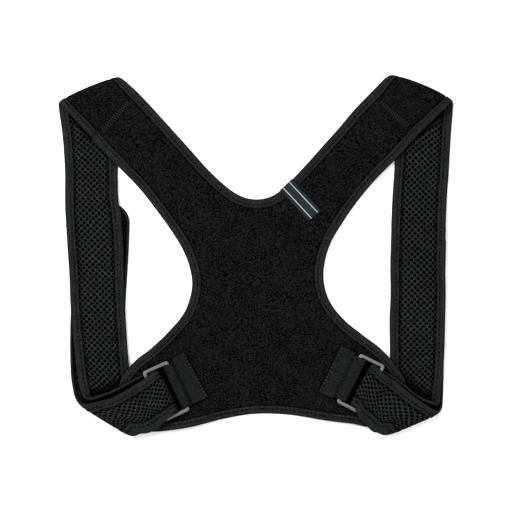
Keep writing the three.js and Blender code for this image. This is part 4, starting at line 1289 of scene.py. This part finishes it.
def webbingLine(side):
    # middle line of the webbing across the ring, as places across and heights
    arm, tip, inner, _ = ringLevels(side)
    half = webbing["thickness"] / 2
    far = tip - side["ring"]["tab"] * ring["width"]
    over = inner + (ring["thickness"] + ring["play"]) / 2 + body["gap"] + half
    edge = -arm - ring["bar"] / 2
    stitch, edge = edge - webbing["stitch"], edge - 0.6

    def lower(across):
        return wingHeight(side, across) + panel["thickness"] / 2 + body["gap"] + half

    def upper(across):
        return lower(across) + webbing["thickness"] + body["gap"]

    under = lower(tip)
    radius = (over - under) / 2
    centre = tip - half - radius
    angle = np.linspace(-math.pi / 2, math.pi / 2, 17)
    line = [(x, lower(x)) for x in np.linspace(far, -arm, 12)]
    line += zip(centre + radius * np.cos(angle), under + radius + radius * np.sin(angle))
    line += [(mix(centre, edge, share), over) for share in (0.4, 0.8, 1)]
    line += [(mix(edge, stitch, share), mix(over, upper(stitch), smoothstep(share, 0, 1)))
             for share in (0.25, 0.5, 0.75)]
    line += [(x, upper(x)) for x in np.linspace(stitch, far, 14)]
    return np.array(line), stitch, far


def levelLine(spots, height):
    # a line on a cloth that lies flat, with its normals straight up
    return np.column_stack([spots, height]), np.tile([0.0, 0, 1], (len(spots), 1))


def tabPoint(side, stitch, far, across, along):
    # the flat part of the tab is sewn down a little askew and wider than in the ring
    share = np.clip((across - stitch) / (far - stitch), 0, 1)
    past = np.clip(share * 8, 0, 1)
    along = along * (1 + side["ring"]["tabFlare"] * past)
    slipped = along + side["ring"]["tabSlip"] * (0.7 * past + 0.3 * share)
    return ringPoint(side, across + side["ring"]["tabTurn"] * share * along, slipped)


def webbingTab(name, side):
    line, stitch, far = webbingLine(side)
    way = unit(np.gradient(line, axis=0))
    normal = np.stack([-way[:, 1], way[:, 0]], 1)
    wide, thick = webbing["width"] / 2, webbing["thickness"] / 2
    q = np.linspace(-wide, wide, webbing["crossSteps"])
    rounding = thick * np.sqrt(np.clip(1 - np.clip((np.abs(q) - wide + thick) / thick, 0, 1) ** 2, 0.04, 1))
    loopQ, loopH = np.concatenate([q, q[::-1]]), np.concatenate([rounding, -rounding[::-1]])
    places = line[:, None] + normal[:, None] * loopH[None, :, None]
    xy = tabPoint(side, stitch, far, places[..., 0], np.broadcast_to(loopQ, places.shape[:2]))
    solid = lofted(np.concatenate([xy, places[..., 1:]], -1))
    flat = flatPlaces(lengthsAlong(line)[:, None], loopQ)
    makePiece("webbing_" + name, solid, "webbing", "webbing", flat, ["webbing_tab_" + name])
    lines = []
    q = np.arange(-wide + 1, wide - 0.9, 0.5)
    for across in (stitch - 0.4, far + 1.3):
        layers = 2 * body["gap"] + 2 * webbing["thickness"]
        height = wingHeight(side, across) + panel["thickness"] / 2 + layers
        spots = tabPoint(side, stitch, far, np.full(len(q), across), q)
        lines.append(levelLine(spots, np.full(len(q), height)))
    sewnPiece("tabStitches_" + name, lines[1:], lines, "webbing", "paleThread", **webbing["thread"])


for name, side in sides.items():
    ringPiece(name, side)
    webbingTab(name, side)
print("rings and webbing made")


label = {"share": 0.609, "length": 41.5, "width": 16, "thickness": 0.45, "ribPitch": 0.7, "stripeIn": 4.2,
         "slate": (0.006, 0.0095, 0.0115, 1), "thread": (0.011, 0.0165, 0.0195, 1),
         "stripe": (0.3, 0.32, 0.32, 1), "stripeHalf": (0.3, 0.5), "face": -0.45, "sinks": 0.35,
         "sinksFrom": (8, 13), "steps": 15}


def labelFinish():
    # fine crosswise ribs and two plain stripes along the strip
    material = newMaterial("labelWeave", Roughness=0.7, Specular_IOR_Level=0.08)
    add, maths, ranged, mixed, finish = adder(material)
    parts = add("SeparateXYZ", {0: add("UVMap", uv_map="flat")})
    wave = maths("SINE", maths("MULTIPLY", parts.outputs["X"], 2 * math.pi / label["ribPitch"]))
    share = maths("MULTIPLY_ADD", wave, 0.5, 0.5)
    woven = mixed(share, label["slate"], label["thread"])
    close = maths("ABSOLUTE", maths("SUBTRACT", maths("ABSOLUTE", parts.outputs["Y"]), label["stripeIn"]))
    stripe = ranged(close, *label["stripeHalf"], 1.0, 0.0)
    bump = add("Bump", {"Height": share, "Distance": 0.0001})
    return finish(Base_Color=mixed(stripe, woven, label["stripe"]), Normal=bump)


def labelSinks(e):
    # past the neck tape the strip lies a little lower
    return label["sinks"] * smoothstep(e, *label["sinksFrom"])


def labelPiece():
    rough = neckLine(np.linspace(0, 1, 2000))
    half, long, face = label["width"] / 2, label["length"], label["face"]
    shares = np.linspace(-1, 1, label["steps"])
    places = label["share"] * lengthsAlong(rough)[-1] + half * shares
    base, = resample(rough, places)
    tangent = unit(resample(rough, places + 1)[0] - resample(rough, places - 1)[0])
    middleWay = unit(tangent.mean(0, keepdims=True))
    inward = np.stack([middleWay[:, 1], -middleWay[:, 0]], 1)
    low = panel["thickness"] / 2 + body["gap"]
    # across the edge: e runs in from the neck edge, h is the height over the panel's middle
    lip = [(face, -0.9), (face, 0.6), (face + 0.3, low - 0.2), (face + 1.1, low)]
    inner = np.array(lip + [(e, low - labelSinks(e)) for e in np.linspace(2.5, long, 22)])
    way = unit(np.gradient(inner, axis=0))
    outer = inner + np.stack([-way[:, 1], way[:, 0]], 1) * label["thickness"]
    lengths = lengthsAlong(inner)
    loop = np.vstack([inner, outer[::-1]])
    xy = base[:, None] + inward * loop[None, :, :1]
    heights = panelHeight(xy.reshape(-1, 2)).reshape(xy.shape[:2]) + loop[None, :, 1]
    flat = flatPlaces(np.concatenate([lengths, lengths[::-1]])[None, :], (shares * half)[:, None])
    solid = lofted(np.concatenate([xy, heights[..., None]], -1))
    piece = makePiece("label_patch", solid, "label", "label_weave", flat, ["label"])
    # sewn down along both long sides and its lower end
    e = np.arange(2.5, long - 1, 0.5)
    lines = [(base[row] + inward * e[:, None], e, 2.6, 1.7) for row in (1, -2)]
    lines.append((base[1:-1] + inward * (long - 1.2), long, 2.2, 1.6))
    parts = []
    for spots, e, pitch, stitch in lines:
        level = panelHeight(spots) + low + label["thickness"] - 0.05 - labelSinks(e)
        parts.append(stitchRow(*levelLine(spots, level), pitch, stitch, 0.2))
    makePiece("labelStitches", joined(parts), "thread", "label_weave")


finishes["label"] = labelFinish()
labelPiece()
print("label made")


room = {"floorHalf": 3.0, "floorColour": (0.86, 0.86, 0.86, 1), "cameraHeight": 3.0, "viewWidth": 0.5092,
        "centre": (0.000428, 0.000718), "plane": 0.01, "floorGlow": 0.2, "daylight": 0.55, "sensor": 36}


def makeFloor():
    half = room["floorHalf"]
    mesh = bpy.data.meshes.new("table")
    corners = [(-half, -half, 0), (half, -half, 0), (half, half, 0), (-half, half, 0)]
    mesh.from_pydata(corners, [], [(0, 1, 2, 3)])
    mesh.materials.append(newMaterial("paleTable", Roughness=0.8, Base_Color=room["floorColour"],
                                      Emission_Color=(1, 1, 1, 1), Emission_Strength=room["floorGlow"]))
    newObject("table", mesh)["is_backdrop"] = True


def areaLight(name, place, size, power):
    # a square lamp that points at the middle of the table
    lamp = bpy.data.lights.new(name, "AREA")
    lamp.shape = "RECTANGLE"
    lamp.size = lamp.size_y = size
    lamp.energy = power
    light = newObject(name, lamp)
    light.location = place
    light.rotation_euler = (-Vector(place)).to_track_quat("-Z", "Y").to_euler()


def makeCamera():
    camera = bpy.data.cameras.new("camera")
    camera.sensor_width = room["sensor"]
    camera.lens = room["sensor"] * (room["cameraHeight"] - room["plane"]) / room["viewWidth"]
    camera.clip_end = 50
    eye = newObject("camera", camera)
    eye.location = (*room["centre"], room["cameraHeight"])
    bpy.context.scene.camera = eye


def makeWorld():
    world = bpy.data.worlds.new("studio")
    world.use_nodes = True
    background = world.node_tree.nodes["Background"]
    background.inputs["Color"].default_value = (1, 1, 1, 1)
    background.inputs["Strength"].default_value = room["daylight"]
    bpy.context.scene.world = world
    bpy.context.scene.view_settings.view_transform = "Standard"


makeFloor()
areaLight("keyLight", (-1.0, 0.7, 1.9), 1.0, 78)
areaLight("fillLight", (1.2, -0.4, 1.9), 1.5, 24)
makeWorld()
makeCamera()
print("table, light and camera placed")

bpy.context.view_layer.update()
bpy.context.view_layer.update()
meshes = [piece.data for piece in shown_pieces() if piece.type == "MESH"]
print("triangles:", sum(len(face.vertices) - 2 for mesh in meshes for face in mesh.polygons))
